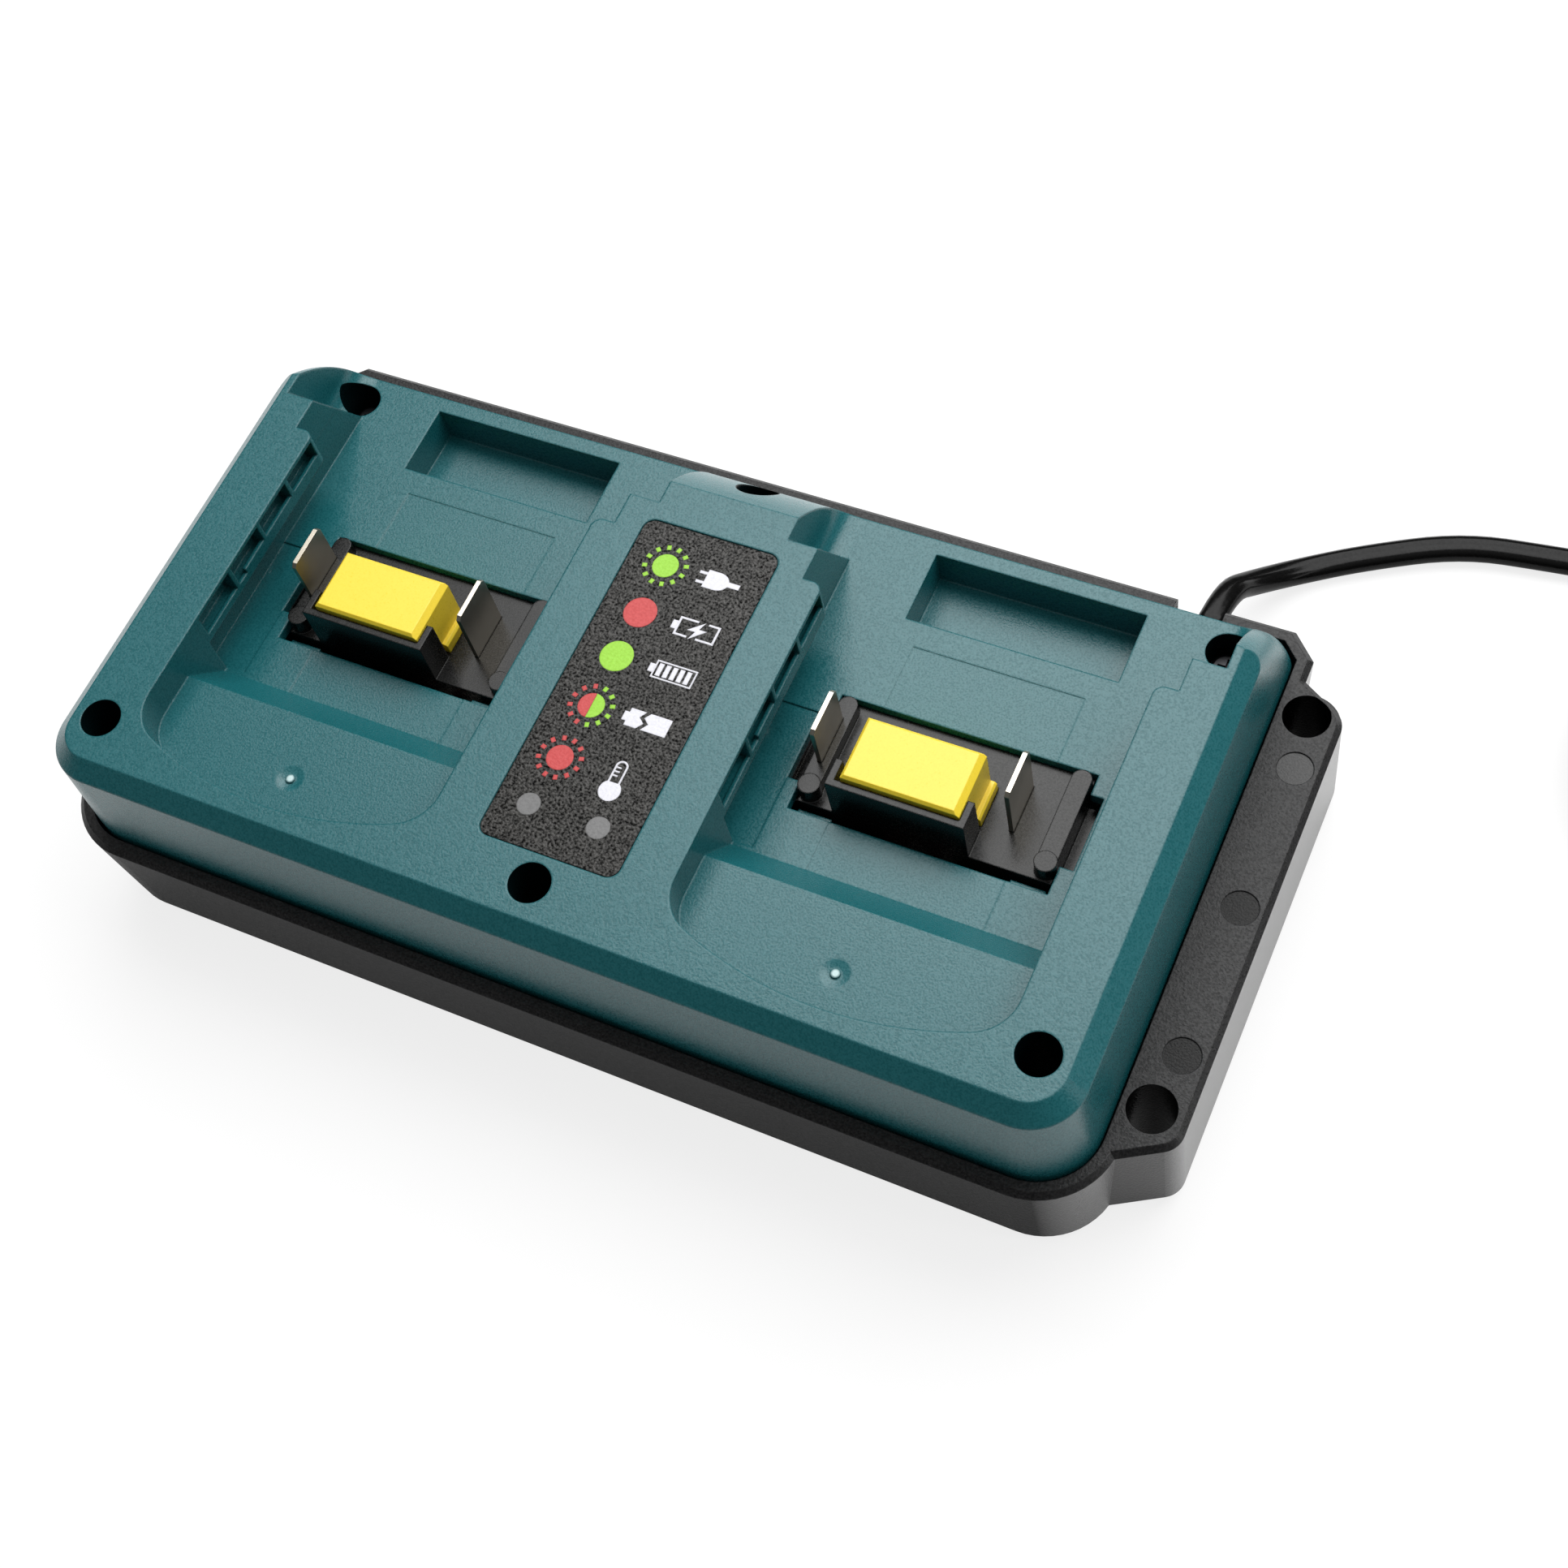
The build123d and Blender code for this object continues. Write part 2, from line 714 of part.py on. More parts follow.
def base_tray():
    heights = [base_bottom, base_bottom + base_edge_bevel, rim_top - rim_bevel, rim_top]
    case_insets = [base_draft + base_edge_bevel, base_draft, 0.0, rim_bevel]
    ear_insets = [base_edge_bevel, 0.0, 0.0, rim_bevel]
    tray = stack(heights, [case_outline(inset) for inset in case_insets])
    tray += stack(heights, [ear_outline(inset) for inset in ear_insets])
    core = ear_outline(ear_wall) - case_outline(0.0)
    tray -= prism(core, below, rim_top - ear_skin)
    for y in ear_hole_places:
        low = base_bottom + base_edge_bevel
        tray += post(ear_hole_x, y, low, rim_top - ear_skin + overcut, ear_hole_radius + ear_wall)
    tray -= prism(case_outline(base_wall), base_floor_top, above)
    for y in ear_hole_places:
        tray -= post(ear_hole_x, y, below, above, ear_hole_radius)
    for step in (-1, 0, 1):
        y = ear_middle_y + step * ejector_mark_pitch
        tray -= post(ear_mark_x, y, rim_top - ejector_mark_depth, above, ejector_mark_radius)
    for x, y in screw_places:
        tray += post(x, y, base_floor_top - overcut, well_foot, boss_radius)
        tray -= post(x, y, base_floor_top + overcut, above, case_screw_radius + thread_clearance)
    for x, y in board_screw_places:
        tray += post(x, y, base_floor_top - overcut, board_height, standoff_radius)
        tray -= post(x, y, base_floor_top, above, small_screw_radius + thread_clearance)
    for x, y in foot_places:
        tray -= post(x, y, below, base_bottom + foot_sink, foot_radius)
    return tray - gland_slot()


# ---- terminal blocks ------------------------------------------------------------------------------------


def signal_connector():
    """The yellow connector: a bevelled block, and behind the hood's return a low step."""
    top = plate_top + signal_height
    foot = plate_top - signal_plug_depth
    body = block((signal_left, signal_front, foot), (signal_right, signal_back, top))
    body = chamfer(body.edges().group_by(Axis.Z)[-1].sort_by(Axis.X)[-1], signal_right_edge)
    body = chamfer(body.edges().group_by(Axis.Z)[-1].sort_by(Axis.X)[:-1], signal_edge)
    step_x = signal_right + signal_step_run
    low = (signal_right - overcut, signal_step_front, foot)
    step = block(low, (step_x, signal_back, plate_top + signal_step_rise))
    step = chamfer(step.edges().group_by(Axis.Z)[-1].sort_by(Axis.X)[-1], signal_step_edge)
    return body + step


def signal_seat():
    """The pocket in the plate that the connector plugs into, with its fit all round."""
    grow = signal_clearance
    foot = plate_top - signal_plug_depth - grow
    step_x = signal_right + signal_step_run + grow
    low = (signal_left - grow, signal_front - grow, foot)
    main = block(low, (signal_right + grow, signal_back + grow, above))
    step_low = (signal_right, signal_step_front - grow, foot)
    return main + block(step_low, (step_x, signal_back + grow, above))


def blade(x, grow):
    """A flat terminal blade standing across the block; grow widens it to make its slot."""
    half = blade_thickness / 2 + grow
    low = (x - half, blade_front - grow, plate_bottom - blade_tail)
    sheet = block(low, (x + half, blade_back + grow, plate_top + blade_height))
    if grow:
        return sheet
    corners = sheet.edges().filter_by(Axis.X).group_by(Axis.Z)[-1]
    return chamfer(corners, blade_corner)


def terminal_block():
    """One moulded block: plate, deck, guide wings, two rounded bars, and the hood round the connector."""
    plate_low = (-plate_half_width, plate_front, plate_bottom)
    body = block(plate_low, (plate_half_width, plate_back, plate_top))
    body += block(plate_low, (plate_half_width, deck_back, plate_top + deck_rise))
    wing_low = (-wing_half_width, wing_front, plate_bottom)
    body += block(wing_low, (wing_half_width, wing_back, plate_top - wing_step))
    pad_top = floor_underside - slide_gap
    for side in (-1, 1):
        pad_x = side * (wing_half_width - guide_pad_width / 2)
        low = (pad_x - guide_pad_width / 2, wing_front, plate_bottom)
        body += block(low, (pad_x + guide_pad_width / 2, wing_back, pad_top))
        bar = SlotOverall(bar_back - bar_front, bar_width, rotation=90)
        bar = Pos(side * bar_x, (bar_front + bar_back) / 2, 0) * bar
        body += prism(bar, plate_bottom, plate_top + bar_height)
        pin_y = bar_front + bar_width / 2
        pin_top = plate_top + bar_height + bar_pin_rise
        body += post(side * bar_x, pin_y, plate_bottom, pin_top, bar_pin_radius)
    hood_top = plate_top + hood_height
    hood = block((hood_left, hood_front, plate_bottom), (hood_right, hood_front + hood_return, hood_top))
    inside_low = (hood_left + hood_wall, hood_front + hood_wall, plate_top)
    body += hood - block(inside_low, (hood_right - hood_wall, half_depth, above))
    body -= signal_seat()
    for x in (left_blade_x, right_blade_x):
        body -= blade(x, blade_clearance)
    return body


def retainer():
    """The bar that holds a block up against its bay's floor, with a window for the blades' tails."""
    width = 2 * (retainer_boss_x + retainer_boss_radius)
    sheet = Pos(0, retainer_y) * RectangleRounded(width, retainer_depth, retainer_boss_radius)
    front = blade_front - float_travel - retainer_window_margin
    back = blade_back + retainer_window_margin
    sheet = sheet - Pos(0, (front + back) / 2) * Rectangle(retainer_window_width, back - front)
    bar = prism(sheet, retainer_top - retainer_thickness, retainer_top)
    for side in (-1, 1):
        hole = small_screw_radius + through_clearance
        bar -= post(side * retainer_boss_x, retainer_y, below, above, hole)
    return bar


# ---- circuit boards and their parts ---------------------------------------------------------------------


def main_board():
    board = Pos(0, board_y) * RectangleRounded(board_length, board_depth, board_corner)
    board = prism(board, board_height, board_top)
    for x, y in board_screw_places:
        board -= post(x, y, below, above, small_screw_radius + through_clearance)
    return board


def transformer():
    """A laminated core with two windows, and the winding on its middle leg."""
    low_y = transformer_y - core_depth / 2
    high_y = transformer_y + core_depth / 2
    window_low = board_top + core_yoke
    window_high = board_top + core_height - core_yoke
    window_reach = core_width / 2 - core_yoke
    core = block((-core_width / 2, low_y, board_top), (core_width / 2, high_y, board_top + core_height))
    window = block((-window_reach, low_y, window_low), (window_reach, high_y, window_high))
    leg = block((-core_leg / 2, low_y, window_low), (core_leg / 2, high_y, window_high))
    core = core - (window - leg)
    coil = block(
        (-window_reach + winding_gap, low_y - winding_overhang, window_low + winding_gap),
        (window_reach - winding_gap, high_y + winding_overhang, window_high - winding_gap),
    )
    coil = fillet(coil.edges().filter_by(Axis.Z), winding_round)
    half_leg = core_leg / 2 + leg_clearance
    return core, coil - block((-half_leg, low_y, below), (half_leg, high_y, above))


def capacitor(x, y, radius, height):
    """An upright can with a rolled groove near its foot and a sunk top."""
    can = post(x, y, board_top, board_top + height, radius)
    can = fillet(can.edges().group_by(Axis.Z)[-1], radius * cap_edge_share)
    groove_low = board_top + radius * cap_groove_low
    ring = post(x, y, groove_low, board_top + radius * cap_groove_high, radius + overcut)
    ring -= post(x, y, below, above, radius * cap_groove_radius)
    cap = post(x, y, board_top + height - cap_top_sink, above, radius * cap_top_radius)
    return can - ring - cap


def heatsink(x):
    """A finned aluminium block standing on the board."""
    front = heatsink_y - heatsink_depth / 2
    back = heatsink_y + heatsink_depth / 2
    half = heatsink_length / 2
    base_back = front + heatsink_base
    sink = block((x - half, front, board_top), (x + half, base_back, board_top + heatsink_height))
    pitch = (heatsink_length - heatsink_fin) / (heatsink_fins - 1)
    for i in range(heatsink_fins):
        left = x - half + i * pitch
        sink += block((left, front, board_top), (left + heatsink_fin, back, board_top + heatsink_height))
    return sink


def diode(x):
    """A power diode clamped flat against its heatsink's front face."""
    back = heatsink_y - heatsink_depth / 2
    low = (x - diode_width / 2, back - diode_thickness, board_top)
    high = (x + diode_width / 2, back, board_top + diode_height)
    return chamfer(block(low, high).edges().filter_by(Axis.Z), diode_edge)


def fuse_and_clips():
    """A glass fuse lying along X in two clips."""
    axis_z = board_top + clip_wall + fuse_radius + fuse_lift
    tube = Pos(fuse_x, fuse_y, axis_z) * Rot(0, 90, 0) * Cylinder(fuse_radius, fuse_length)
    clips = []
    for side in (-1, 1):
        x = fuse_x + side * (fuse_length - clip_length) / 2
        outer = fuse_radius + clip_wall
        low = (x - clip_length / 2, fuse_y - outer, board_top)
        cradle = block(low, (x + clip_length / 2, fuse_y + outer, axis_z + fuse_radius * clip_rise))
        cradle -= Pos(x, fuse_y, axis_z) * Rot(0, 90, 0) * Cylinder(fuse_radius + clip_fit, 2 * clip_length)
        clips.append(cradle)
    return tube, clips


def socket(x, y, width, depth, height):
    """A small moulded socket standing on the main board."""
    low = (x - width / 2, y - depth / 2, board_top)
    body = block(low, (x + width / 2, y + depth / 2, board_top + height))
    return chamfer(body.edges().filter_by(Axis.Z), socket_edge)


def lead(points, radius, bend):
    """A round insulated wire along straight runs with bends of one radius."""
    path = FilletPolyline(*points, radius=bend)
    start = Plane(origin=points[0], z_dir=path % 0)
    return sweep(start * Circle(radius), path)


# ---- mains cord -----------------------------------------------------------------------------------------

gland_tip_y = half_depth + gland_outer
cord_lie = cord_thickness / 2 + table_gap  # height of the cord's middle where it lies on the table
coil_foot = table_gap + tie_thickness
coil_band = coil_turns_wide * cord_width
coil_height = coil_turns_high * cord_thickness
coil_outer_turn = coil_turn_radius + coil_band / 2 - cord_width / 2
coil_outer_radius = coil_turn_radius + coil_band / 2
# how far from the coil's middle line its outer turn, run out straight, leaves the coil's outline
coil_meet = math.sqrt(coil_outer_radius**2 - coil_outer_turn**2)
cord_route = [
    (cord_exit_x, gland_tip_y, cord_exit_z),
    (76.4, 65.6, 11.8),
    (79.2, 72.0, 6.4),
    (85.4, 79.9, cord_lie),
    (95.2, 86.2, cord_lie),
    (110.5, 94.2, cord_lie),
    (126.0, 96.3, cord_lie),
    (143.5, 98.2, cord_lie),
    (coil_x - coil_meet, coil_y + coil_outer_turn, coil_foot + cord_thickness / 2),
]


def bend_radii(points):
    """Each corner's arc, which uses up a share of the shorter run beside it."""
    radii = []
    for a, b, c in zip(points, points[1:], points[2:]):
        before = Vector(*b) - Vector(*a)
        after = Vector(*c) - Vector(*b)
        half_turn = math.radians(before.get_angle(after)) / 2
        radii.append(cord_bend_share * min(before.length, after.length) / math.tan(half_turn))
    return radii


def power_cord():
    radii = bend_radii(cord_route)
    print("cord bends (mm):", [round(r, 1) for r in radii])
    path = FilletPolyline(*cord_route, radius=radii)
    start = Plane(origin=cord_route[0], z_dir=path % 0)
    tube = sweep(start * Circle(cord_thickness / 2), path)
    section = math.pi * cord_thickness**2 / 4
    print("cord length (mm):", round(path.length, 1))
    print("volume over section x length:", round(tube.volume / (section * path.length), 4))
    return tube


def coil_ring(grow, arc):
    """The wound cord's outer shape, grown by a wall, through an arc of the ring."""
    width = coil_band + 2 * grow
    height = coil_height + 2 * grow
    outline = RectangleRounded(width, height, coil_corner + grow)
    section = Pos(coil_turn_radius, coil_foot + coil_height / 2) * outline
    return Pos(coil_x, coil_y, 0) * revolve(Plane.XZ * section, Axis.Z, revolution_arc=arc)


def coil_tie():
    """A flat strap round the coil's section."""
    arc = math.degrees(tie_width / coil_turn_radius)
    return coil_ring(tie_thickness, arc) - coil_ring(0.0, 360)


def strain_relief():
    """A tapered rubber gland that drops into the back wall's slot, flanged inside the wall."""
    wall_inner = half_depth - base_wall
    flange_inner = wall_inner - gland_flange
    profile = Polygon(
        (0, wall_inner - gland_inner),
        (gland_tip_radius, wall_inner - gland_inner),
        (gland_root_radius, flange_inner),
        (gland_flange_radius, flange_inner),
        (gland_flange_radius, wall_inner),
        (gland_root_radius, wall_inner),
        (gland_root_radius, half_depth),
        (gland_tip_radius, gland_tip_y),
        (0, gland_tip_y),
        align=None,
    )
    body = Pos(0, 0, cord_exit_z) * revolve(profile, Axis.Y)
    top = rim_top - gland_top_drop
    body += block((-gland_root_radius, wall_inner, cord_exit_z), (gland_root_radius, half_depth, top))
    body += block((-gland_flange_radius, flange_inner, cord_exit_z), (gland_flange_radius, wall_inner, top))
    return Pos(cord_exit_x, 0, 0) * body


plug_tip_y = coil_y - coil_meet
plug_seat = Pos(coil_x + coil_outer_turn, plug_tip_y - plug_neck_length - plug_length / 2, 0)
plug_seat = plug_seat * Rot(0, 0, -90) * Pos(0, 0, plug_thickness / 2 + table_gap)


def mains_plug():
    """A moulded two-pin plug lying on its broad side beside the coil, its neck towards the coil."""
    body = Box(plug_length, plug_width, plug_thickness)
    body = fillet(body.edges().filter_by(Axis.X), plug_corner)
    body = chamfer(body.faces().sort_by(Axis.X)[0].edges(), plug_shoulder)
    cone = Cone(plug_neck_radius, gland_tip_radius, plug_neck_length)
    neck = Pos(-(plug_length + plug_neck_length) / 2, 0, 0) * Rot(0, -90, 0) * cone
    return plug_seat * (body + neck)


def plug_prongs():
    prongs = []
    for side in (-1, 1):
        x = (plug_length + prong_length) / 2
        prong = Pos(x, side * prong_pitch / 2, 0) * Box(prong_length, prong_thickness, prong_width)
        tip = prong.faces().sort_by(Axis.X)[-1]
        prongs.append(plug_seat * chamfer(tip.edges(), prong_thickness / 3))
    return prongs


# ---- write every node -----------------------------------------------------------------------------------

os.makedirs("parts", exist_ok=True)

save("top_cover", top_cover())
save("base_tray", base_tray())

label = label_room(0.0, top_plane - label_recess, top_plane - label_recess + label_thickness)
save("indicator_label", label)

for side, middle in bays.items():
    seat = Pos(middle, 0, 0)
    save(f"{side}_terminal_block", seat * terminal_block())
    save(f"{side}_signal_connector", seat * signal_connector())
    save(f"{side}_charge_blade", seat * blade(left_blade_x, 0.0))
    save(f"{side}_return_blade", seat * blade(right_blade_x, 0.0))
    save(f"{side}_block_retainer", seat * retainer())

retainer_screws = []
for middle in bays.values():
    for side in (-1, 1):
        x = middle + side * retainer_boss_x
        seat_z = retainer_top - retainer_thickness
        retainer_screws.append(screw(x, retainer_y, seat_z, small_screw_radius, retainer_screw_length, up=-1))
save("retainer_screws", retainer_screws)

case_seat = well_foot + well_floor
save("case_screws", [screw(x, y, case_seat, case_screw_radius, case_screw_length) for x, y in screw_places])
board_screw_length = board_top - base_floor_top - board_screw_gap
save(
    "board_screws",
    [screw(x, y, board_top, small_screw_radius, board_screw_length) for x, y in board_screw_places],
)
foot_top = base_bottom + foot_sink
save("rubber_feet", [post(x, y, 0.0, foot_top, foot_radius - foot_fit) for x, y in foot_places])

# indicator board, its lamps and the light guides behind the label's two windows
indicator_sheet = RectangleRounded(indicator_board_width, indicator_board_depth, indicator_board_corner)
indicator_board = prism(Pos(0, lamp_y) * indicator_sheet, indicator_top - board_thickness, indicator_top)
for x in (-indicator_post_x, indicator_post_x):
    indicator_board -= post(x, lamp_y, below, above, small_screw_radius + through_clearance)
save("indicator_board", indicator_board)
indicator_seat = indicator_top - board_thickness
save(
    "indicator_screws",
    [
        screw(x, lamp_y, indicator_seat, small_screw_radius, small_screw_length, up=-1)
        for x in (-indicator_post_x, indicator_post_x)
    ],
)
lamp_top = indicator_top + lamp_body_height
guide_top = top_plane - label_recess
save("indicator_lamps", [post(x, y, indicator_top, lamp_top, lamp_body_radius) for x, y in lamp_places])
save("light_guides", [post(x, y, lamp_top, guide_top, lamp_radius) for x, y in lamp_places])

# main board
save("main_board", main_board())
core, winding = transformer()
save("transformer_core", core)
save("transformer_winding", winding)
save(
    "bulk_capacitors",
    [capacitor(side * bulk_cap_x, bulk_cap_y, bulk_cap_radius, bulk_cap_height) for side in (-1, 1)],
)
save(
    "output_capacitors",
    [
        capacitor(side * small_cap_x, small_cap_y + i * small_cap_pitch, small_cap_radius, small_cap_height)
        for side in (-1, 1)
        for i in range(2)
    ],
)
save("heatsinks", [heatsink(side * heatsink_x) for side in (-1, 1)])
save("power_diodes", [diode(side * heatsink_x) for side in (-1, 1)])
ring = Pos(choke_x, choke_y, board_top + choke_section) * Torus(choke_radius, choke_section)
save("line_choke", ring)
fuse, clips = fuse_and_clips()
save("line_fuse", fuse)
save("fuse_clips", clips)
sockets = []
for side in (-1, 1):
    sockets.append(socket(side * socket_x, socket_y, socket_width, socket_depth, socket_height))
save("lead_sockets", sockets)

# leads from each bay's blades to its socket on the board
tail_z = plate_bottom - blade_tail - lead_air
level_z = tail_z - lead_drop
for side, middle in bays.items():
    socket_middle = math.copysign(socket_x, middle)
    leads = []
    for x, step in ((left_blade_x, -0.5), (right_blade_x, 0.5)):
        landing_x = socket_middle + step * socket_pitch
        blade_y = (blade_front + blade_back) / 2
        points = [
            (middle + x, blade_y, tail_z),
            (middle + x, blade_y, level_z),
            (landing_x, socket_y, level_z),
            (landing_x, socket_y, board_top + socket_height),
        ]
        leads.append(lead(points, lead_radius, lead_bend))
    save(f"{side}_bay_leads", leads)

# ribbon from the indicator board down to the main board
ribbon_low = (-ribbon_width / 2, lamp_y - ribbon_thickness / 2, board_top)
ribbon_high = (ribbon_width / 2, lamp_y + ribbon_thickness / 2, indicator_seat)
save("indicator_ribbon", block(ribbon_low, ribbon_high))

# mains side
supply = (supply_socket_x, supply_socket_y, supply_socket_width, supply_socket_depth, supply_socket_height)
save("supply_socket", socket(*supply))
supply_back = supply_socket_y + supply_socket_depth / 2
supply_points = [
    (cord_exit_x, half_depth - base_wall - gland_inner, cord_exit_z),
    (cord_exit_x, supply_lead_turn, cord_exit_z),
    (supply_socket_x, supply_lead_return, cord_exit_z),
    (supply_socket_x, supply_back, cord_exit_z),
]
save("supply_lead", lead(supply_points, cord_thickness / 2, supply_lead_bend))
save("strain_relief", strain_relief())
save("power_cord", power_cord())
save("cord_coil", coil_ring(0.0, 360))
save("coil_tie", coil_tie())
save("mains_plug", mains_plug())
save("plug_prongs", plug_prongs())
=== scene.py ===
import math

import bmesh
import bpy
from mathutils import Matrix, Vector


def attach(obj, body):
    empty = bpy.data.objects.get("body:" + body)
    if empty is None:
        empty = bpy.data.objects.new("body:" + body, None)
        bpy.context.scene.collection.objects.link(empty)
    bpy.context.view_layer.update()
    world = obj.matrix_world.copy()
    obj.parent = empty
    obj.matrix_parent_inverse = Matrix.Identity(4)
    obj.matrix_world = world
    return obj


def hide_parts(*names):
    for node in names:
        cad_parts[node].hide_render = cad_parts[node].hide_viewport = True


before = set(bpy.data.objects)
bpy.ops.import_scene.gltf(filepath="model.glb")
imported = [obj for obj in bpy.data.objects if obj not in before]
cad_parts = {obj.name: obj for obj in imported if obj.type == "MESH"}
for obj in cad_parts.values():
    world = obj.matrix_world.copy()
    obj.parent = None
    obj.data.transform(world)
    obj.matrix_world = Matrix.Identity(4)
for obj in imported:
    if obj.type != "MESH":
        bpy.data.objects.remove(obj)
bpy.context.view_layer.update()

mm = 0.001
caseShift = -4.9 * mm  # the middle between the bays, on the part's own X


def addNode(tree, kind, **settings):
    node = tree.nodes.new(kind)
    for key, value in settings.items():
        if key in node.inputs:
            node.inputs[key].default_value = value
        else:
            setattr(node, key, value)
    return node


# a source is a plain value, or a node with the name of its output
def feed(tree, node, socket, source):
    if isinstance(source, tuple) and isinstance(source[0], bpy.types.Node):
        tree.links.new(source[0].outputs[source[1]], node.inputs[socket])
    else:
        node.inputs[socket].default_value = source


def calc(tree, operation, *sources):
    node = addNode(tree, "ShaderNodeMath", operation=operation)
    for socket, source in enumerate(sources):
        feed(tree, node, socket, source)
    return node, "Value"


def ramp(tree, source, span, ends, kind="LINEAR"):
    node = addNode(tree, "ShaderNodeMapRange", interpolation_type=kind)
    for socket, value in zip(("From Min", "From Max", "To Min", "To Max"), (*span, *ends)):
        feed(tree, node, socket, value)
    feed(tree, node, "Value", source)
    return node, "Result"


def mixed(tree, kind, factor, a, b, blend="MIX"):
    node = addNode(tree, "ShaderNodeMix", data_type=kind, blend_type=blend)
    for socket, source in zip(("Factor", "A", "B"), (factor, a, b)):
        feed(tree, node, socket, source)
    return node, "Result"


def opaque(color):
    return (*color, 1)


def grey(level):
    return (level, level, level, 1)


def newMaterial(name):
    material = bpy.data.materials.new(name)
    material.use_nodes = True
    tree = material.node_tree
    return material, tree, tree.nodes["Principled BSDF"]


fullSpan = (0.0, 1.0)
grainSpan = (0.32, 0.68)  # the part of the noise that becomes full grain
facingSpan = (0.3, 0.95)  # how far a face has turned to an axis where its painted sheen and its roughness start and end to change
grainRoughness = 0.05
brushRoughness = 0.08


# a value that changes as the surface turns to an axis of the part
def byFacing(tree, place, axis, away, towards):
    facing = addNode(tree, "ShaderNodeSeparateXYZ")
    feed(tree, facing, "Vector", (place, "Normal"))
    return ramp(tree, (facing, axis), facingSpan, (away, towards))


# a round patch of another colour and sheen, seen from above: a mould mark, or painted shade in a well or
# hole
def addSpot(tree, place, spot, color, gloss):
    flat = addNode(tree, "ShaderNodeVectorMath", operation="MULTIPLY")
    feed(tree, flat, 0, (place, "Object"))
    feed(tree, flat, 1, (1, 1, 0))
    away = addNode(tree, "ShaderNodeVectorMath", operation="DISTANCE")
    feed(tree, away, 0, (flat, "Vector"))
    feed(tree, away, 1, (*spot["middle"], 0))
    rim = (spot["radius"], spot["radius"] + spot["fade"])
    inside = ramp(tree, (away, "Value"), rim, (1.0, 0.0))
    color = mixed(tree, "RGBA", inside, color, opaque(spot["color"]))
    gloss = mixed(tree, "FLOAT", inside, gloss, spot["specular"])
    return color, gloss


# the grain's bump, over edges that are rounded for the light alone
def addRelief(tree, look, height):
    bump = addNode(tree, "ShaderNodeBump", Strength=look["bump"], Distance=look["bumpDepth"])
    feed(tree, bump, "Height", height)
    if look["edge"] > 0:
        edge = addNode(tree, "ShaderNodeBevel", samples=look["edgeSamples"], Radius=look["edge"])
        feed(tree, bump, "Normal", (edge, "Normal"))
    return bump, "Normal"


# spark texture, a slow drift of colour, and edges that catch the light
def mouldedPlastic(name, look):
    material, tree, shader = newMaterial(name)
    place = addNode(tree, "ShaderNodeTexCoord")
    noise = addNode(tree, "ShaderNodeTexNoise", Scale=look["grainScale"], Detail=2.0, Roughness=0.5)
    drift = addNode(tree, "ShaderNodeTexNoise", Scale=look["driftScale"], Detail=2.0, Roughness=0.5)
    feed(tree, noise, "Vector", (place, "Object"))
    feed(tree, drift, "Vector", (place, "Object"))
    grain = ramp(tree, (noise, "Fac"), grainSpan, fullSpan)
    tint = mixed(tree, "RGBA", (drift, "Fac"), opaque(look["color"]), opaque(look["darkColor"]))
    speck = ramp(tree, grain, fullSpan, (1 - look["speck"], 1 + look["speck"]))
    color = mixed(tree, "RGBA", 1.0, tint, speck, "MULTIPLY")
    roughEnds = (look["roughness"] - grainRoughness, look["roughness"] + grainRoughness)
    glossEnds = (look["specular"] * (1 - look["sparkle"]), look["specular"] * (1 + look["sparkle"]))
    rough = ramp(tree, grain, fullSpan, roughEnds)
    gloss = ramp(tree, grain, fullSpan, glossEnds)
    # painted sheen and shade: the specular level follows which way a face turns
    if "endPaintedSheen" in look:
        upward = byFacing(tree, place, "Z", look["sidePaintedShade"], gloss)
        gloss = byFacing(tree, place, "X", upward, look["endPaintedSheen"])
        rough = byFacing(tree, place, "X", rough, look["endRoughness"])
    for spot in look.get("spots", []):
        color, gloss = addSpot(tree, place, spot, color, gloss)
    feed(tree, shader, "Base Color", color)
    feed(tree, shader, "Roughness", rough)
    feed(tree, shader, "Specular IOR Level", gloss)
    feed(tree, shader, "Normal", addRelief(tree, look, grain))
    return material


# rolled or plated metal: fine lines along one direction and a little staining
def brushedMetal(name, look):
    material, tree, shader = newMaterial(name)
    place = addNode(tree, "ShaderNodeTexCoord")
    stretch = addNode(tree, "ShaderNodeMapping", Scale=look["stretch"])
    lines = addNode(tree, "ShaderNodeTexNoise", Scale=look["lineScale"], Detail=4.0)
    stain = addNode(tree, "ShaderNodeTexNoise", Scale=look["stainScale"], Detail=3.0)
    feed(tree, stretch, "Vector", (place, "Object"))
    feed(tree, lines, "Vector", (stretch, "Vector"))
    feed(tree, stain, "Vector", (place, "Object"))
    color = mixed(tree, "RGBA", (stain, "Fac"), opaque(look["color"]), opaque(look["darkColor"]))
    roughEnds = (look["roughness"] - brushRoughness, look["roughness"] + brushRoughness)
    feed(tree, shader, "Base Color", color)
    feed(tree, shader, "Roughness", ramp(tree, (lines, "Fac"), fullSpan, roughEnds))
    feed(tree, shader, "Normal", addRelief(tree, look, (lines, "Fac")))
    feed(tree, shader, "Metallic", look["metallic"])
    return material


def spotsAt(places, **spot):  # places in millimetres from the middle between the bays
    return [{"middle": (x * mm + caseShift, y * mm), **spot} for x, y in places]


plasticBase = {
    "grainScale": 2800.0,
    "driftScale": 40.0,
    "speck": 0.10,
    "roughness": 0.5,
    "bump": 0.5,
    "bumpDepth": 0.03 * mm,
    "edge": 0.25 * mm,
    "edgeSamples": 6,
    "specular": 0.5,
    "sparkle": 0.15,  # how much the grain changes the specular level
}

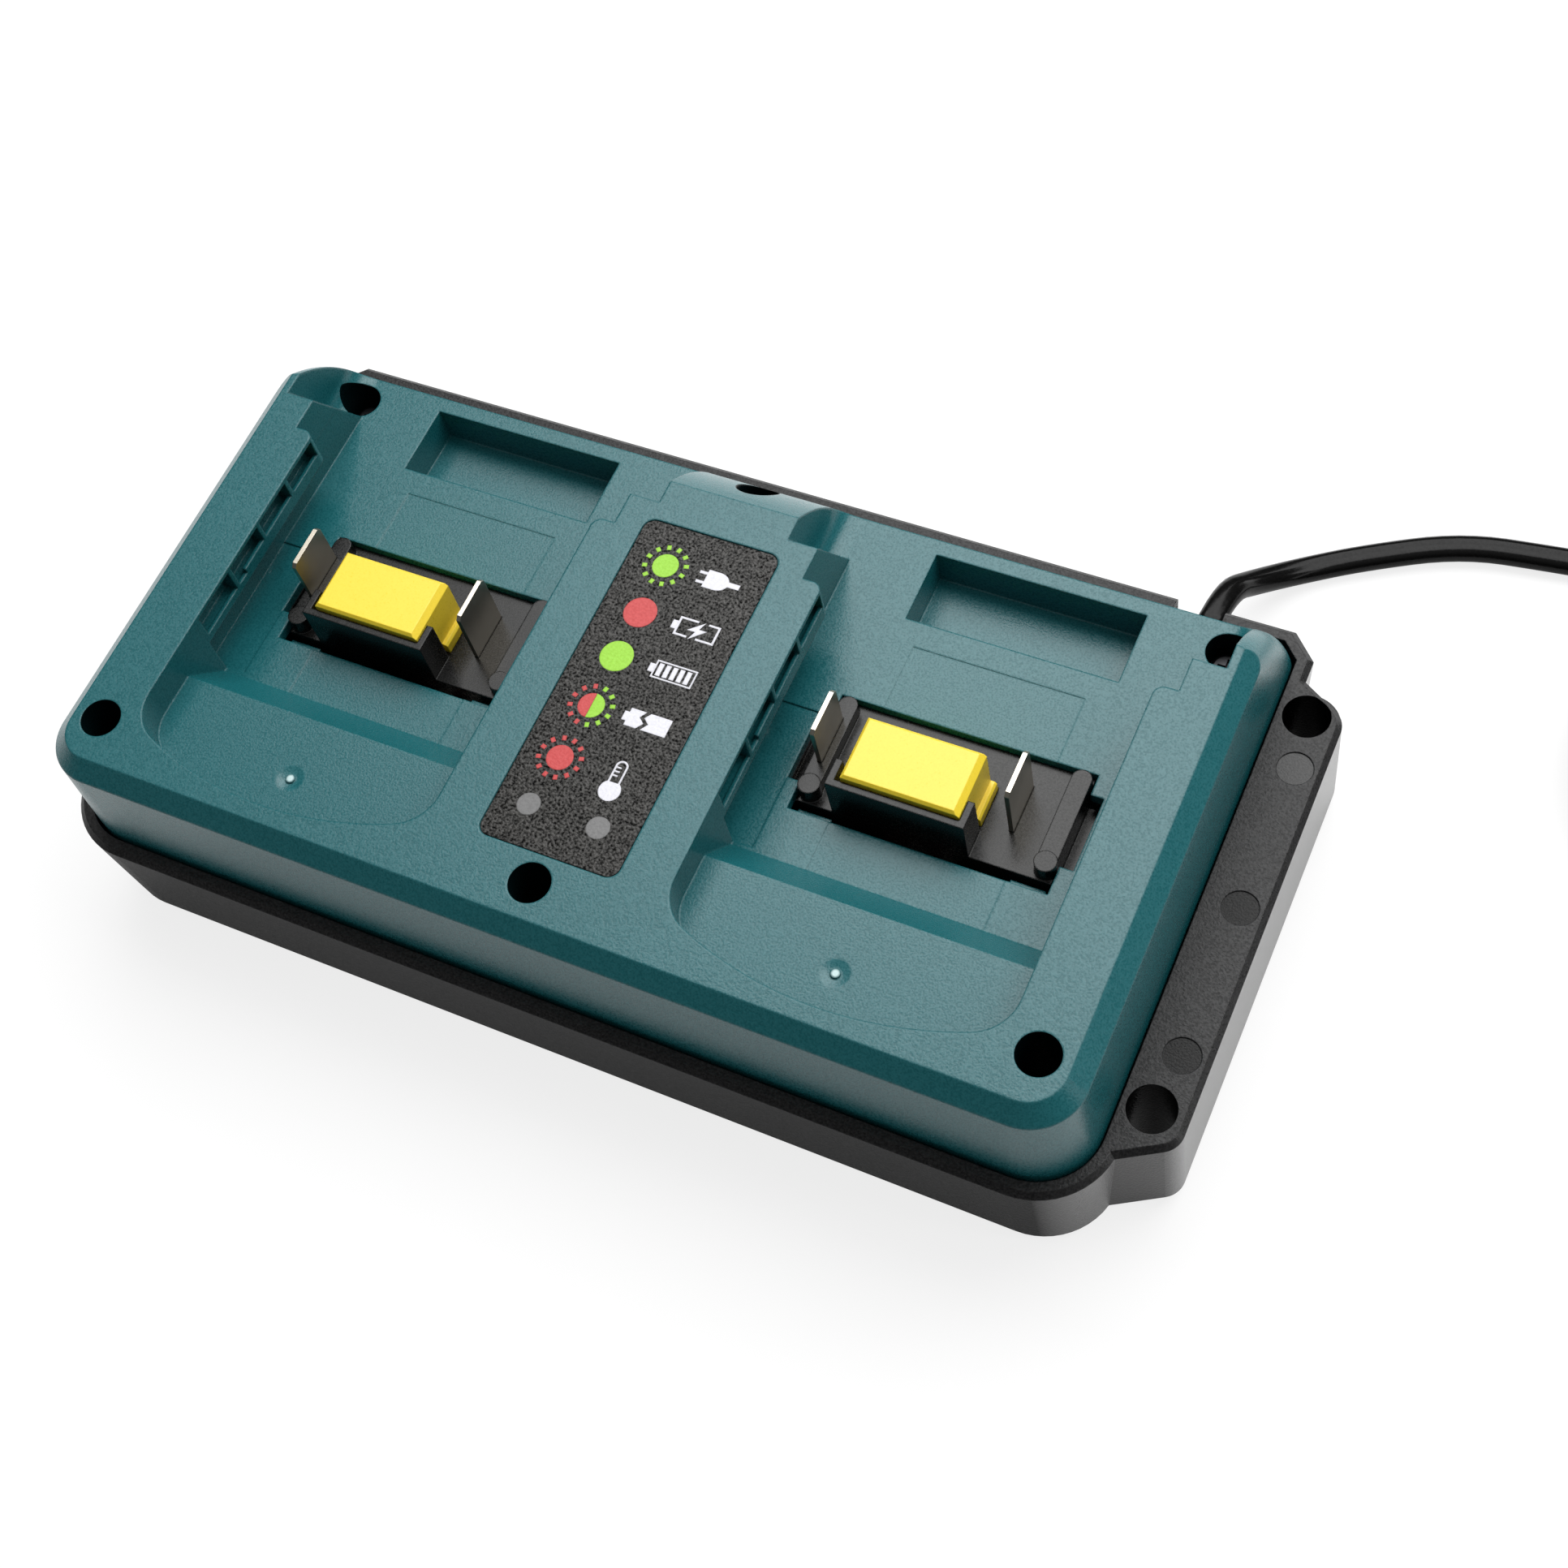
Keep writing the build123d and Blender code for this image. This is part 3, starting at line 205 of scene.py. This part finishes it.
tealHousing = {
    "color": (0.011, 0.119, 0.135),
    "darkColor": (0.008, 0.109, 0.123),
    "roughness": 0.29,
    "edge": 0.55 * mm,
    "specular": 0.455,
    "sparkle": 0.28,
    "grainScale": 2900.0,
    "speck": 0.14,
}
gateMarks = [(-50.8, -34.8), (49.2, -34.8)]
paintedShadeWells = [(-84.15, -38.4), (0.0, -40.1), (84.15, -38.4), (-84.15, 43.25), (0.0, 43.25), (84.15, 43.25)]
tealHousing["spots"] = spotsAt(
    gateMarks, radius=0.4 * mm, fade=0.4 * mm, color=(0.55, 0.72, 0.72), specular=0.4)
# painted shade: near-black, dull discs over the screw wells stand in for the shade inside them
tealHousing["spots"] += spotsAt(
    paintedShadeWells, radius=3.53 * mm, fade=0.04 * mm, color=(0.001, 0.006, 0.007), specular=0.05)

greyHousing = {
    "color": (0.014, 0.014, 0.0145),
    "darkColor": (0.010, 0.010, 0.0105),
    "roughness": 0.40,
    "specular": 0.28,
    "sparkle": 0.35,
    "sidePaintedShade": 0.04,  # painted shade: the walls get a much weaker sheen than the rim
    "endPaintedSheen": 1.0,  # painted sheen: the ear's outer wall, facing X, gets a strong sheen
    "endRoughness": 0.22,
    "grainScale": 2700.0,
    "speck": 0.35,
    "bump": 0.6,
    "bumpDepth": 0.04 * mm,
}
ejectorDisc = {"radius": 2.85 * mm, "fade": 0.2 * mm}
wornDisc = [(100.6, 28.95)]
smoothDiscs = [(100.6, 2.55), (100.6, -23.85)]
paintedShadeEarHoles = [(99.3, -33.55), (99.3, 38.65)]
greyHousing["spots"] = spotsAt(wornDisc, **ejectorDisc, color=(0.022, 0.022, 0.022), specular=0.38)
greyHousing["spots"] += spotsAt(smoothDiscs, **ejectorDisc, color=(0.004, 0.004, 0.004), specular=0.20)
# painted shade: near-black, dull discs inside the ear's through-holes stand in for the shade in them
greyHousing["spots"] += spotsAt(
    paintedShadeEarHoles, radius=3.93 * mm, fade=0.04 * mm, color=(0.0015, 0.0015, 0.0015), specular=0.02)

labelFilm = {
    "color": (0.028, 0.027, 0.025),
    "darkColor": (0.022, 0.021, 0.019),
    "grainScale": 2200.0,
    "speck": 1.0,
    "bump": 0.8,
    "bumpDepth": 0.06 * mm,
    "roughness": 0.34,
    "specular": 0.22,
    "sparkle": 0.9,
}
blackMoulding = {
    "color": (0.007, 0.007, 0.0065),
    "darkColor": (0.003, 0.003, 0.003),
    "roughness": 0.27,
    "bump": 0.06,
    "specular": 0.34,
    "sparkle": 0.2,
    "edge": 0.35 * mm,
}
yellowMoulding = {
    "color": (0.97, 0.745, 0.048),
    "darkColor": (0.95, 0.685, 0.040),
    "roughness": 0.32,
    "bump": 0.08,
    "speck": 0.03,
}
cordRubber = {
    "color": (0.003, 0.003, 0.003),
    "darkColor": (0.002, 0.002, 0.002),
    "roughness": 0.20,
    "bump": 0.06,
    "edge": 0.0,
    "specular": 0.13,
}
tieFabric = {
    "color": (0.014, 0.014, 0.015),
    "darkColor": (0.008, 0.008, 0.009),
    "roughness": 0.85,
    "grainScale": 3600.0,
    "bump": 0.9,
    "bumpDepth": 0.2 * mm,
}
plasticLooks = {
    "tealHousing": tealHousing,
    "greyHousing": greyHousing,
    "labelFilm": labelFilm,
    "blackMoulding": blackMoulding,
    "yellowMoulding": yellowMoulding,
    "cordRubber": cordRubber,
    "tieFabric": tieFabric,
}
plainPlastics = {  # colour, darker colour, roughness
    "bracketPlastic": ((0.012, 0.012, 0.012), (0.008, 0.008, 0.008), 0.5),
    "footRubber": ((0.012, 0.012, 0.012), (0.009, 0.009, 0.009), 0.75),
    "boardMask": ((0.006, 0.030, 0.012), (0.005, 0.024, 0.010), 0.3),
    "ferrite": ((0.030, 0.029, 0.028), (0.022, 0.022, 0.021), 0.6),
    "windingTape": ((0.62, 0.45, 0.06), (0.50, 0.36, 0.05), 0.3),
    "capacitorSleeve": ((0.010, 0.014, 0.030), (0.008, 0.010, 0.022), 0.25),
    "diodeEpoxy": ((0.013, 0.013, 0.013), (0.009, 0.009, 0.009), 0.5),
    "fuseGlass": ((0.55, 0.60, 0.60), (0.50, 0.56, 0.56), 0.08),
    "socketNylon": ((0.66, 0.64, 0.58), (0.60, 0.58, 0.52), 0.45),
    "leadSheath": ((0.10, 0.006, 0.005), (0.07, 0.005, 0.004), 0.35),
    "ribbonCable": ((0.28, 0.28, 0.29), (0.22, 0.22, 0.23), 0.45),
    "guideAcrylic": ((0.24, 0.24, 0.235), (0.20, 0.20, 0.195), 0.35),
    "lampEpoxy": ((0.45, 0.50, 0.45), (0.40, 0.44, 0.40), 0.2),
}
for name, (color, darkColor, roughness) in plainPlastics.items():
    plasticLooks[name] = {"color": color, "darkColor": darkColor, "roughness": roughness}

metalBase = {
    "stretch": (1.0, 1.0, 12.0),
    "lineScale": 900.0,
    "stainScale": 160.0,
    "roughness": 0.32,
    "bump": 0.12,
    "bumpDepth": 0.02 * mm,
    "edge": 0.08 * mm,
    "edgeSamples": 4,
    "metallic": 1.0,
}
metalLooks = {
    "platedContact": {"color": (0.66, 0.61, 0.52), "darkColor": (0.50, 0.46, 0.38)},
    "screwSteel": {"color": (0.09, 0.09, 0.095), "darkColor": (0.05, 0.05, 0.055), "roughness": 0.38},
    "prongBrass": {"color": (0.66, 0.50, 0.24), "darkColor": (0.54, 0.40, 0.18)},
    "sinkAluminium": {"color": (0.62, 0.62, 0.64), "darkColor": (0.54, 0.54, 0.56)},
    "clipBrass": {"color": (0.60, 0.55, 0.42), "darkColor": (0.48, 0.43, 0.32)},
}
materials = {}
for name, look in plasticLooks.items():
    materials[name] = mouldedPlastic(name, {**plasticBase, **look})
for name, look in metalLooks.items():
    materials[name] = brushedMetal(name, {**metalBase, **look})

nodeFinish = {
    "tealHousing": ["top_cover"],
    "greyHousing": ["base_tray"],
    "labelFilm": ["indicator_label"],
    "blackMoulding": ["left_terminal_block", "right_terminal_block"],
    "yellowMoulding": ["left_signal_connector", "right_signal_connector"],
    "bracketPlastic": ["left_block_retainer", "right_block_retainer"],
    "footRubber": ["rubber_feet"],
    "cordRubber": ["strain_relief", "mains_plug", "supply_lead"],
    "tieFabric": ["coil_tie"],
    "boardMask": ["main_board", "indicator_board"],
    "ferrite": ["transformer_core", "line_choke"],
    "windingTape": ["transformer_winding"],
    "capacitorSleeve": ["bulk_capacitors", "output_capacitors"],
    "diodeEpoxy": ["power_diodes"],
    "fuseGlass": ["line_fuse"],
    "socketNylon": ["lead_sockets", "supply_socket"],
    "leadSheath": ["left_bay_leads", "right_bay_leads"],
    "ribbonCable": ["indicator_ribbon"],
    "guideAcrylic": ["light_guides"],
    "lampEpoxy": ["indicator_lamps"],
    "platedContact": ["left_charge_blade", "left_return_blade", "right_charge_blade", "right_return_blade"],
    "screwSteel": ["retainer_screws", "case_screws", "board_screws", "indicator_screws"],
    "prongBrass": ["plug_prongs"],
    "sinkAluminium": ["heatsinks"],
    "clipBrass": ["fuse_clips"],
}
for finish, nodes in nodeFinish.items():
    for node in nodes:
        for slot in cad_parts[node].material_slots:
            slot.material = materials[finish]
print("stage: materials")

cameraView = {
    "place": (0.140343, -0.146467, 0.356033),
    "turns": (("X", -28.54), ("Y", -8.77), ("Z", -24.48)),  # from the part's frame to the camera's
    "lens": 52.595,
    "sensor": 36.0,
    "nearest": 0.01,
    "farthest": 20.0,
}


def makeCamera(view):
    data = bpy.data.cameras.new("camera")
    data.lens = view["lens"]
    data.sensor_width = view["sensor"]
    data.clip_start = view["nearest"]
    data.clip_end = view["farthest"]
    data.dof.use_dof = False
    camera = bpy.data.objects.new("camera", data)
    bpy.context.scene.collection.objects.link(camera)
    turn = Matrix.Identity(3)
    for axis, angle in view["turns"]:
        turn = turn @ Matrix.Rotation(math.radians(angle), 3, axis)
    camera.matrix_world = Matrix.Translation(view["place"]) @ turn.transposed().to_4x4()
    bpy.context.scene.camera = camera


makeCamera(cameraView)
print("stage: camera")

cordFacts = {
    "length": 1.8,
    "width": 5.0 * mm,
    "lobeRadius": 1.7 * mm,
    "lobeMiddle": 0.8 * mm,
    "lobePoints": 9,
    "smoothSteps": 6,
    "body": "case",
    "slot": "cord_rubber",
}
cordRoute = [  # control points along the stretch that isn't coiled, in the part's frame
    (0.0713, 0.05585, 0.0130),
    (0.0715, 0.0656, 0.0118),
    (0.0743, 0.0720, 0.0064),
    (0.0805, 0.0799, 0.00175),
    (0.0903, 0.0862, 0.00175),
    (0.1056, 0.0942, 0.00175),
    (0.1211, 0.0963, 0.00175),
    (0.1386, 0.0982, 0.00175),
]
coilFacts = {
    "middle": (0.1676, 0.0685),
    "radii": [31, 26, 21, 21, 26, 31, 31, 26, 21, 26],  # each turn's, in millimetres
    "layers": [0, 0, 0, 1, 1, 1, 2, 2, 2, 3],
    "lastRadius": 31,
    "foot": 0.85 * mm,
    "layerHeight": 3.4 * mm,
    "pointsPerTurn": 16,
    "crossing": 3,  # points over which a turn moves to the next one
    "end": (0.1986, 0.0548, 0.00805),
}


# whole turns clockwise from the coil's back, then a quarter turn to the plug
def coilPoints(coil):
    points = []
    perTurn = coil["pointsPerTurn"]
    pull = 1 / math.cos(math.pi / perTurn)  # control points lie outside the curve that they draw
    radii = coil["radii"] + [coil["lastRadius"]]
    layers = coil["layers"] + [coil["layers"][-1]]
    quarter = perTurn // 4
    for step in range(perTurn * len(coil["radii"]) + quarter):
        turn = step // perTurn
        place = step % perTurn
        share = max(0.0, (place - perTurn + coil["crossing"] + 1) / (coil["crossing"] + 1))
        follow = min(turn + 1, len(radii) - 1)
        radius = radii[turn] + (radii[follow] - radii[turn]) * share
        layer = layers[turn] + (layers[follow] - layers[turn]) * share
        angle = math.radians(90) - 2 * math.pi * step / perTurn
        x = coil["middle"][0] + radius * mm * pull * math.cos(angle)
        y = coil["middle"][1] + radius * mm * pull * math.sin(angle)
        points.append((x, y, coil["foot"] + (layer + 0.5) * coil["layerHeight"]))
    return points


# points along the smooth spline that has these control points
def splineLine(name, points, steps):
    data = bpy.data.curves.new(name, "CURVE")
    data.dimensions = "3D"
    data.resolution_u = steps
    spline = data.splines.new("NURBS")
    spline.points.add(len(points) - 1)
    for point, place in zip(spline.points, points):
        point.co = (*place, 1.0)
    spline.order_u = 3
    spline.use_endpoint_u = True
    curve = bpy.data.objects.new(name, data)
    mesh = bpy.data.meshes.new_from_object(curve)
    line = [vertex.co.copy() for vertex in mesh.vertices]
    bpy.data.objects.remove(curve)
    bpy.data.meshes.remove(mesh)
    return line


# two round lobes side by side, as (across, up) pairs
def twinSection(facts):
    section = []
    waist = math.acos(facts["lobeMiddle"] / facts["lobeRadius"])
    for side in (1, -1):
        for i in range(facts["lobePoints"]):
            share = i / (facts["lobePoints"] - 1)
            angle = (math.pi - waist) * (2 * share - 1)
            across = side * (facts["lobeMiddle"] + facts["lobeRadius"] * math.cos(angle))
            section.append((across, side * facts["lobeRadius"] * math.sin(angle)))
    return section


def meshObject(name, mesh):
    data = bpy.data.meshes.new(name)
    mesh.to_mesh(data)
    mesh.free()
    piece = bpy.data.objects.new(name, data)
    bpy.context.scene.collection.objects.link(piece)
    return piece


# a closed tube of this section along the line, kept level across
def sweepFlat(name, line, section):
    mesh = bmesh.new()
    rings = []
    for i, place in enumerate(line):
        before = line[max(i - 1, 0)]
        after = line[min(i + 1, len(line) - 1)]
        along = (after - before).normalized()
        across = along.cross(Vector((0, 0, 1))).normalized()
        up = across.cross(along).normalized()
        rings.append([mesh.verts.new(place + across * a + up * b) for a, b in section])
    count = len(section)
    for ring, following in zip(rings, rings[1:]):
        for i in range(count):
            j = (i + 1) % count
            mesh.faces.new((ring[i], ring[j], following[j], following[i]))
    mesh.faces.new(list(reversed(rings[0])))
    mesh.faces.new(rings[-1])
    bmesh.ops.recalc_face_normals(mesh, faces=mesh.faces)
    for face in mesh.faces:
        face.smooth = len(face.verts) == 4
    return meshObject(name, mesh)


cordControls = cordRoute + coilPoints(coilFacts) + [coilFacts["end"]]
cordLine = splineLine("cordLine", cordControls, cordFacts["smoothSteps"])
cord = sweepFlat("mains_cord", cordLine, twinSection(cordFacts))
cord.data.materials.append(materials["cordRubber"])
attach(cord, cordFacts["body"])
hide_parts("power_cord", "cord_coil")
cordSum = sum((b - a).length for a, b in zip(cordLine, cordLine[1:]))
print("stage: cord, length", round(cordSum, 4))

labelFacts = {  # in millimetres, from the middle between the bays
    "top": 44.9,  # the film's face, above the table
    "thickness": 0.03,
    "finish": {"speck": 0.06, "bump": 0.2, "specular": 0.30, "sparkle": 0.3},
    "inks": {
        "limeInk": {"color": (0.340, 0.690, 0.045), "darkColor": (0.300, 0.640, 0.038)},
        "redInk": {"color": (0.600, 0.065, 0.065), "darkColor": (0.540, 0.055, 0.055)},
        "whiteInk": {"color": (0.800, 0.800, 0.860), "darkColor": (0.760, 0.760, 0.820)},
        "windowGrey": {"color": (0.200, 0.200, 0.200), "darkColor": (0.160, 0.160, 0.160)},
    },
    "dots": [  # ink, x, y, radius, rays
        ("limeInk", -5.4, 20.35, 2.3, 12),
        ("redInk", -5.4, 10.65, 2.9, 0),
        ("limeInk", -5.4, 1.75, 2.9, 0),
        ("redInk", -5.7, -18.45, 2.3, 12),
        ("windowGrey", -6.65, -27.7, 2.0, 0),
        ("windowGrey", 5.95, -27.7, 2.0, 0),
    ],
    "halfDot": (-5.2, -8.05, 2.3),
    "rayFrom": 3.15,
    "rayTo": 4.05,
    "rayWidth": 0.75,
    "rayCount": 12,
}


def bar(x0, y0, x1, y1):
    return [(x0, y0), (x1, y0), (x1, y1), (x0, y1)]


def ovalArc(x, y, radiusX, radiusY, start, end, steps=20):
    turns = [math.radians(start + (end - start) * i / steps) for i in range(steps + 1)]
    return [(x + radiusX * math.cos(t), y + radiusY * math.sin(t)) for t in turns]


def arc(x, y, radius, start, end, steps=20):
    return ovalArc(x, y, radius, radius, start, end, steps)


def dot(x, y, radius):
    return arc(x, y, radius, 0, 350, 35)


def frameBars(x0, y0, x1, y1, t):
    return [
        bar(x0, y0, x1, y0 + t),
        bar(x0, y1 - t, x1, y1),
        bar(x0, y0 + t, x0 + t, y1 - t),
        bar(x1 - t, y0 + t, x1, y1 - t),
    ]


# short bars that point away from a dot, for these of its places
def rays(x, y, label, places):
    shapes = []
    half = label["rayWidth"] / 2
    outline = bar(label["rayFrom"], -half, label["rayTo"], half)
    for i in places:
        turn = 2 * math.pi * (i + 0.5) / label["rayCount"]
        along = (math.cos(turn), math.sin(turn))
        shape = [(x + r * along[0] - w * along[1], y + r * along[1] + w * along[0]) for r, w in outline]
        shapes.append(shape)
    return shapes


def plugShapes():
    body = [(2.1, 22.05), (2.1, 18.55)]
    body += ovalArc(4.2, 20.3, 2.2, 1.75, -90, -16.6, 10)
    body += [(8.4, 19.8), (8.4, 20.8)]
    body += ovalArc(4.2, 20.3, 2.2, 1.75, 16.6, 90, 10)
    return [bar(0.7, 20.95, 2.1, 21.5), bar(0.7, 19.1, 2.1, 19.65), body]


def chargingShapes():
    rails = [bar(1.5, 8.7, 4.0, 9.1), bar(5.6, 8.7, 8.9, 9.1), bar(1.5, 11.9, 4.9, 12.3)]
    rails.append(bar(6.7, 11.9, 8.9, 12.3))
    ends = [bar(1.5, 9.1, 1.9, 11.9), bar(8.5, 9.1, 8.9, 11.9), bar(0.6, 9.7, 1.5, 11.3)]
    bolt = [(6.1, 12.3), (3.5, 10.15), (5.0, 10.15), (4.3, 8.5), (6.9, 10.8), (5.5, 10.8)]
    return rails + ends + [bolt]


def fullShapes():
    cells = [bar(2.15 + 1.27 * i, 0.55, 3.0 + 1.27 * i, 2.95) for i in range(5)]
    return frameBars(1.5, 0.05, 8.9, 3.45, 0.3) + cells + [bar(0.6, 0.95, 1.5, 2.55)]


def brokenShapes():
    left = [(1.4, -9.5), (3.6, -9.5), (4.5, -8.3), (3.4, -7.4), (4.2, -6.2), (1.4, -6.2)]
    left += [(1.4, -7.0), (0.6, -7.0), (0.6, -8.7), (1.4, -8.7)]
    right = [(4.4, -9.5), (8.9, -9.5), (8.9, -6.2), (5.0, -6.2), (4.2, -7.3), (5.3, -8.2)]
    return [left, right]


def thermometerShapes():
    stem = [bar(3.6, -19.55, 3.95, -16.6), bar(5.45, -19.55, 5.8, -16.6)]
    cap = arc(4.7, -16.6, 1.1, 0, 180) + arc(4.7, -16.6, 0.75, 180, 0)
    ticks = [bar(3.95, -17.0 - 0.75 * i, 4.8, -16.7 - 0.75 * i) for i in range(3)]
    bulb = arc(4.7, -21.1, 1.9, 125.4, 414.6, 30)
    return stem + [cap] + ticks + [bulb]


# flat shapes raised by one layer of ink
def printPiece(name, shapes, material):
    mesh = bmesh.new()
    low = labelFacts["top"] * mm
    for shape in shapes:
        verts = [mesh.verts.new((x * mm + caseShift, y * mm, low)) for x, y in shape]
        face = mesh.faces.new(verts)
        rise = bmesh.ops.extrude_face_region(mesh, geom=[face])
        lifted = [part for part in rise["geom"] if isinstance(part, bmesh.types.BMVert)]
        bmesh.ops.translate(mesh, verts=lifted, vec=(0, 0, labelFacts["thickness"] * mm))
    bmesh.ops.recalc_face_normals(mesh, faces=mesh.faces)
    piece = meshObject(name, mesh)
    piece.data.materials.append(material)
    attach(piece, "case")


inkShapes = {ink: [] for ink in labelFacts["inks"]}
for ink, x, y, radius, count in labelFacts["dots"]:
    inkShapes[ink].append(dot(x, y, radius))
    inkShapes[ink] += rays(x, y, labelFacts, range(count))
halfX, halfY, halfRadius = labelFacts["halfDot"]
inkShapes["limeInk"].append(arc(halfX, halfY, halfRadius, -90, 90))
inkShapes["redInk"].append(arc(halfX, halfY, halfRadius, 90, 270))
inkShapes["redInk"] += rays(halfX, halfY, labelFacts, range(3, 9))
inkShapes["limeInk"] += rays(halfX, halfY, labelFacts, range(9, 15))
inkShapes["whiteInk"] += plugShapes() + chargingShapes() + fullShapes()
inkShapes["whiteInk"] += brokenShapes() + thermometerShapes()
for ink, look in labelFacts["inks"].items():
    inkLook = {**plasticBase, **labelFilm, **labelFacts["finish"], **look}
    printPiece("label_" + ink, inkShapes[ink], mouldedPlastic(ink, inkLook))
print("stage: label print")

floorLook = {
    "reach": 3.0,
    "sink": 0.2 * mm,  # below the feet
    "roughness": 0.9,
    "bounce": 0.8,  # the floor's own colour in the light that it gives back
    "shadow": 0.24,  # its colour where it is seen, which sets how dark the shadow is
    "glow": 0.80,  # added where it is seen, so that it comes out white
    "mirrorGlow": 0.30,  # added in mirrors
}


# white with the object's soft shadow; mirrors and glass see it too
def makeFloor(look):
    mesh = bmesh.new()
    bmesh.ops.create_grid(mesh, x_segments=1, y_segments=1, size=look["reach"])
    floor = meshObject("table", mesh)
    floor.location = (0, 0, -look["sink"])
    material, tree, shader = newMaterial("tableWhite")
    lightPath = addNode(tree, "ShaderNodeLightPath")
    seen = calc(tree, "MAXIMUM", (lightPath, "Is Camera Ray"), (lightPath, "Is Transmission Ray"))
    feed(tree, shader, "Base Color", mixed(tree, "RGBA", seen, grey(look["bounce"]), grey(look["shadow"])))
    feed(tree, shader, "Roughness", look["roughness"])
    feed(tree, shader, "Specular IOR Level", 0.0)
    direct = calc(tree, "MULTIPLY", seen, look["glow"])
    level = calc(tree, "MULTIPLY_ADD", (lightPath, "Is Glossy Ray"), look["mirrorGlow"], direct)
    glow = addNode(tree, "ShaderNodeEmission")
    feed(tree, glow, "Strength", level)
    both = addNode(tree, "ShaderNodeAddShader")
    feed(tree, both, 0, (shader, "BSDF"))
    feed(tree, both, 1, (glow, "Emission"))
    feed(tree, tree.nodes["Material Output"], "Surface", (both, "Shader"))
    floor.data.materials.append(material)


skyLook = {
    "low": 0.35,  # heights between which the sky gets brighter
    "high": 0.98,
    "horizon": 0.02,
    "zenith": 0.52,
    "brightSide": (0.05, 0.60, 0.0),
    "backdrop": 1.0,  # where it is seen
    "mirrorFill": 0.08,  # added in mirrors
}


# strong overhead and to the back, weak near the horizon, and white where it is seen
def makeSky(sky):
    world = bpy.data.worlds.new("sky")
    bpy.context.scene.world = world
    world.use_nodes = True
    tree = world.node_tree
    place = addNode(tree, "ShaderNodeTexCoord")
    split = addNode(tree, "ShaderNodeSeparateXYZ")
    side = addNode(tree, "ShaderNodeVectorMath", operation="DOT_PRODUCT")
    lightPath = addNode(tree, "ShaderNodeLightPath")
    feed(tree, split, 0, (place, "Generated"))
    feed(tree, side, 0, (place, "Generated"))
    feed(tree, side, 1, sky["brightSide"])
    levels = (sky["horizon"], sky["zenith"])
    climb = ramp(tree, (split, "Z"), (sky["low"], sky["high"]), levels, "SMOOTHSTEP")
    gain = calc(tree, "ADD", (side, "Value"), 1.0)
    total = calc(tree, "MULTIPLY", climb, gain)
    mirrored = calc(tree, "MULTIPLY_ADD", (lightPath, "Is Glossy Ray"), sky["mirrorFill"], total)
    seen = calc(tree, "MAXIMUM", (lightPath, "Is Camera Ray"), (lightPath, "Is Transmission Ray"))
    background = tree.nodes["Background"]
    feed(tree, background, "Strength", mixed(tree, "FLOAT", seen, mirrored, sky["backdrop"]))
    feed(tree, background, "Color", grey(1.0))


lamps = {
    "mainLamp": {"size": (1.52, 0.9), "energy": 19.0, "place": (0.075, 0.66, 1.02), "aim": (0, 0, 0.03)},
    "sideLamp": {"size": (0.14, 0.9), "energy": 1.2, "place": (0.95, 0.10, 0.60), "aim": (0, 0, 0.03)},
}


def makeLamp(name, lamp):
    data = bpy.data.lights.new(name, "AREA")
    data.shape = "RECTANGLE"
    data.size, data.size_y = lamp["size"]
    data.energy = lamp["energy"]
    piece = bpy.data.objects.new(name, data)
    bpy.context.scene.collection.objects.link(piece)
    piece.location = lamp["place"]
    aim = Vector(lamp["aim"]) - Vector(lamp["place"])
    piece.rotation_euler = aim.to_track_quat("-Z", "Y").to_euler()


makeFloor(floorLook)
makeSky(skyLook)
for name, lamp in lamps.items():
    makeLamp(name, lamp)
bpy.context.scene.view_settings.view_transform = "Standard"
print("stage: stage")
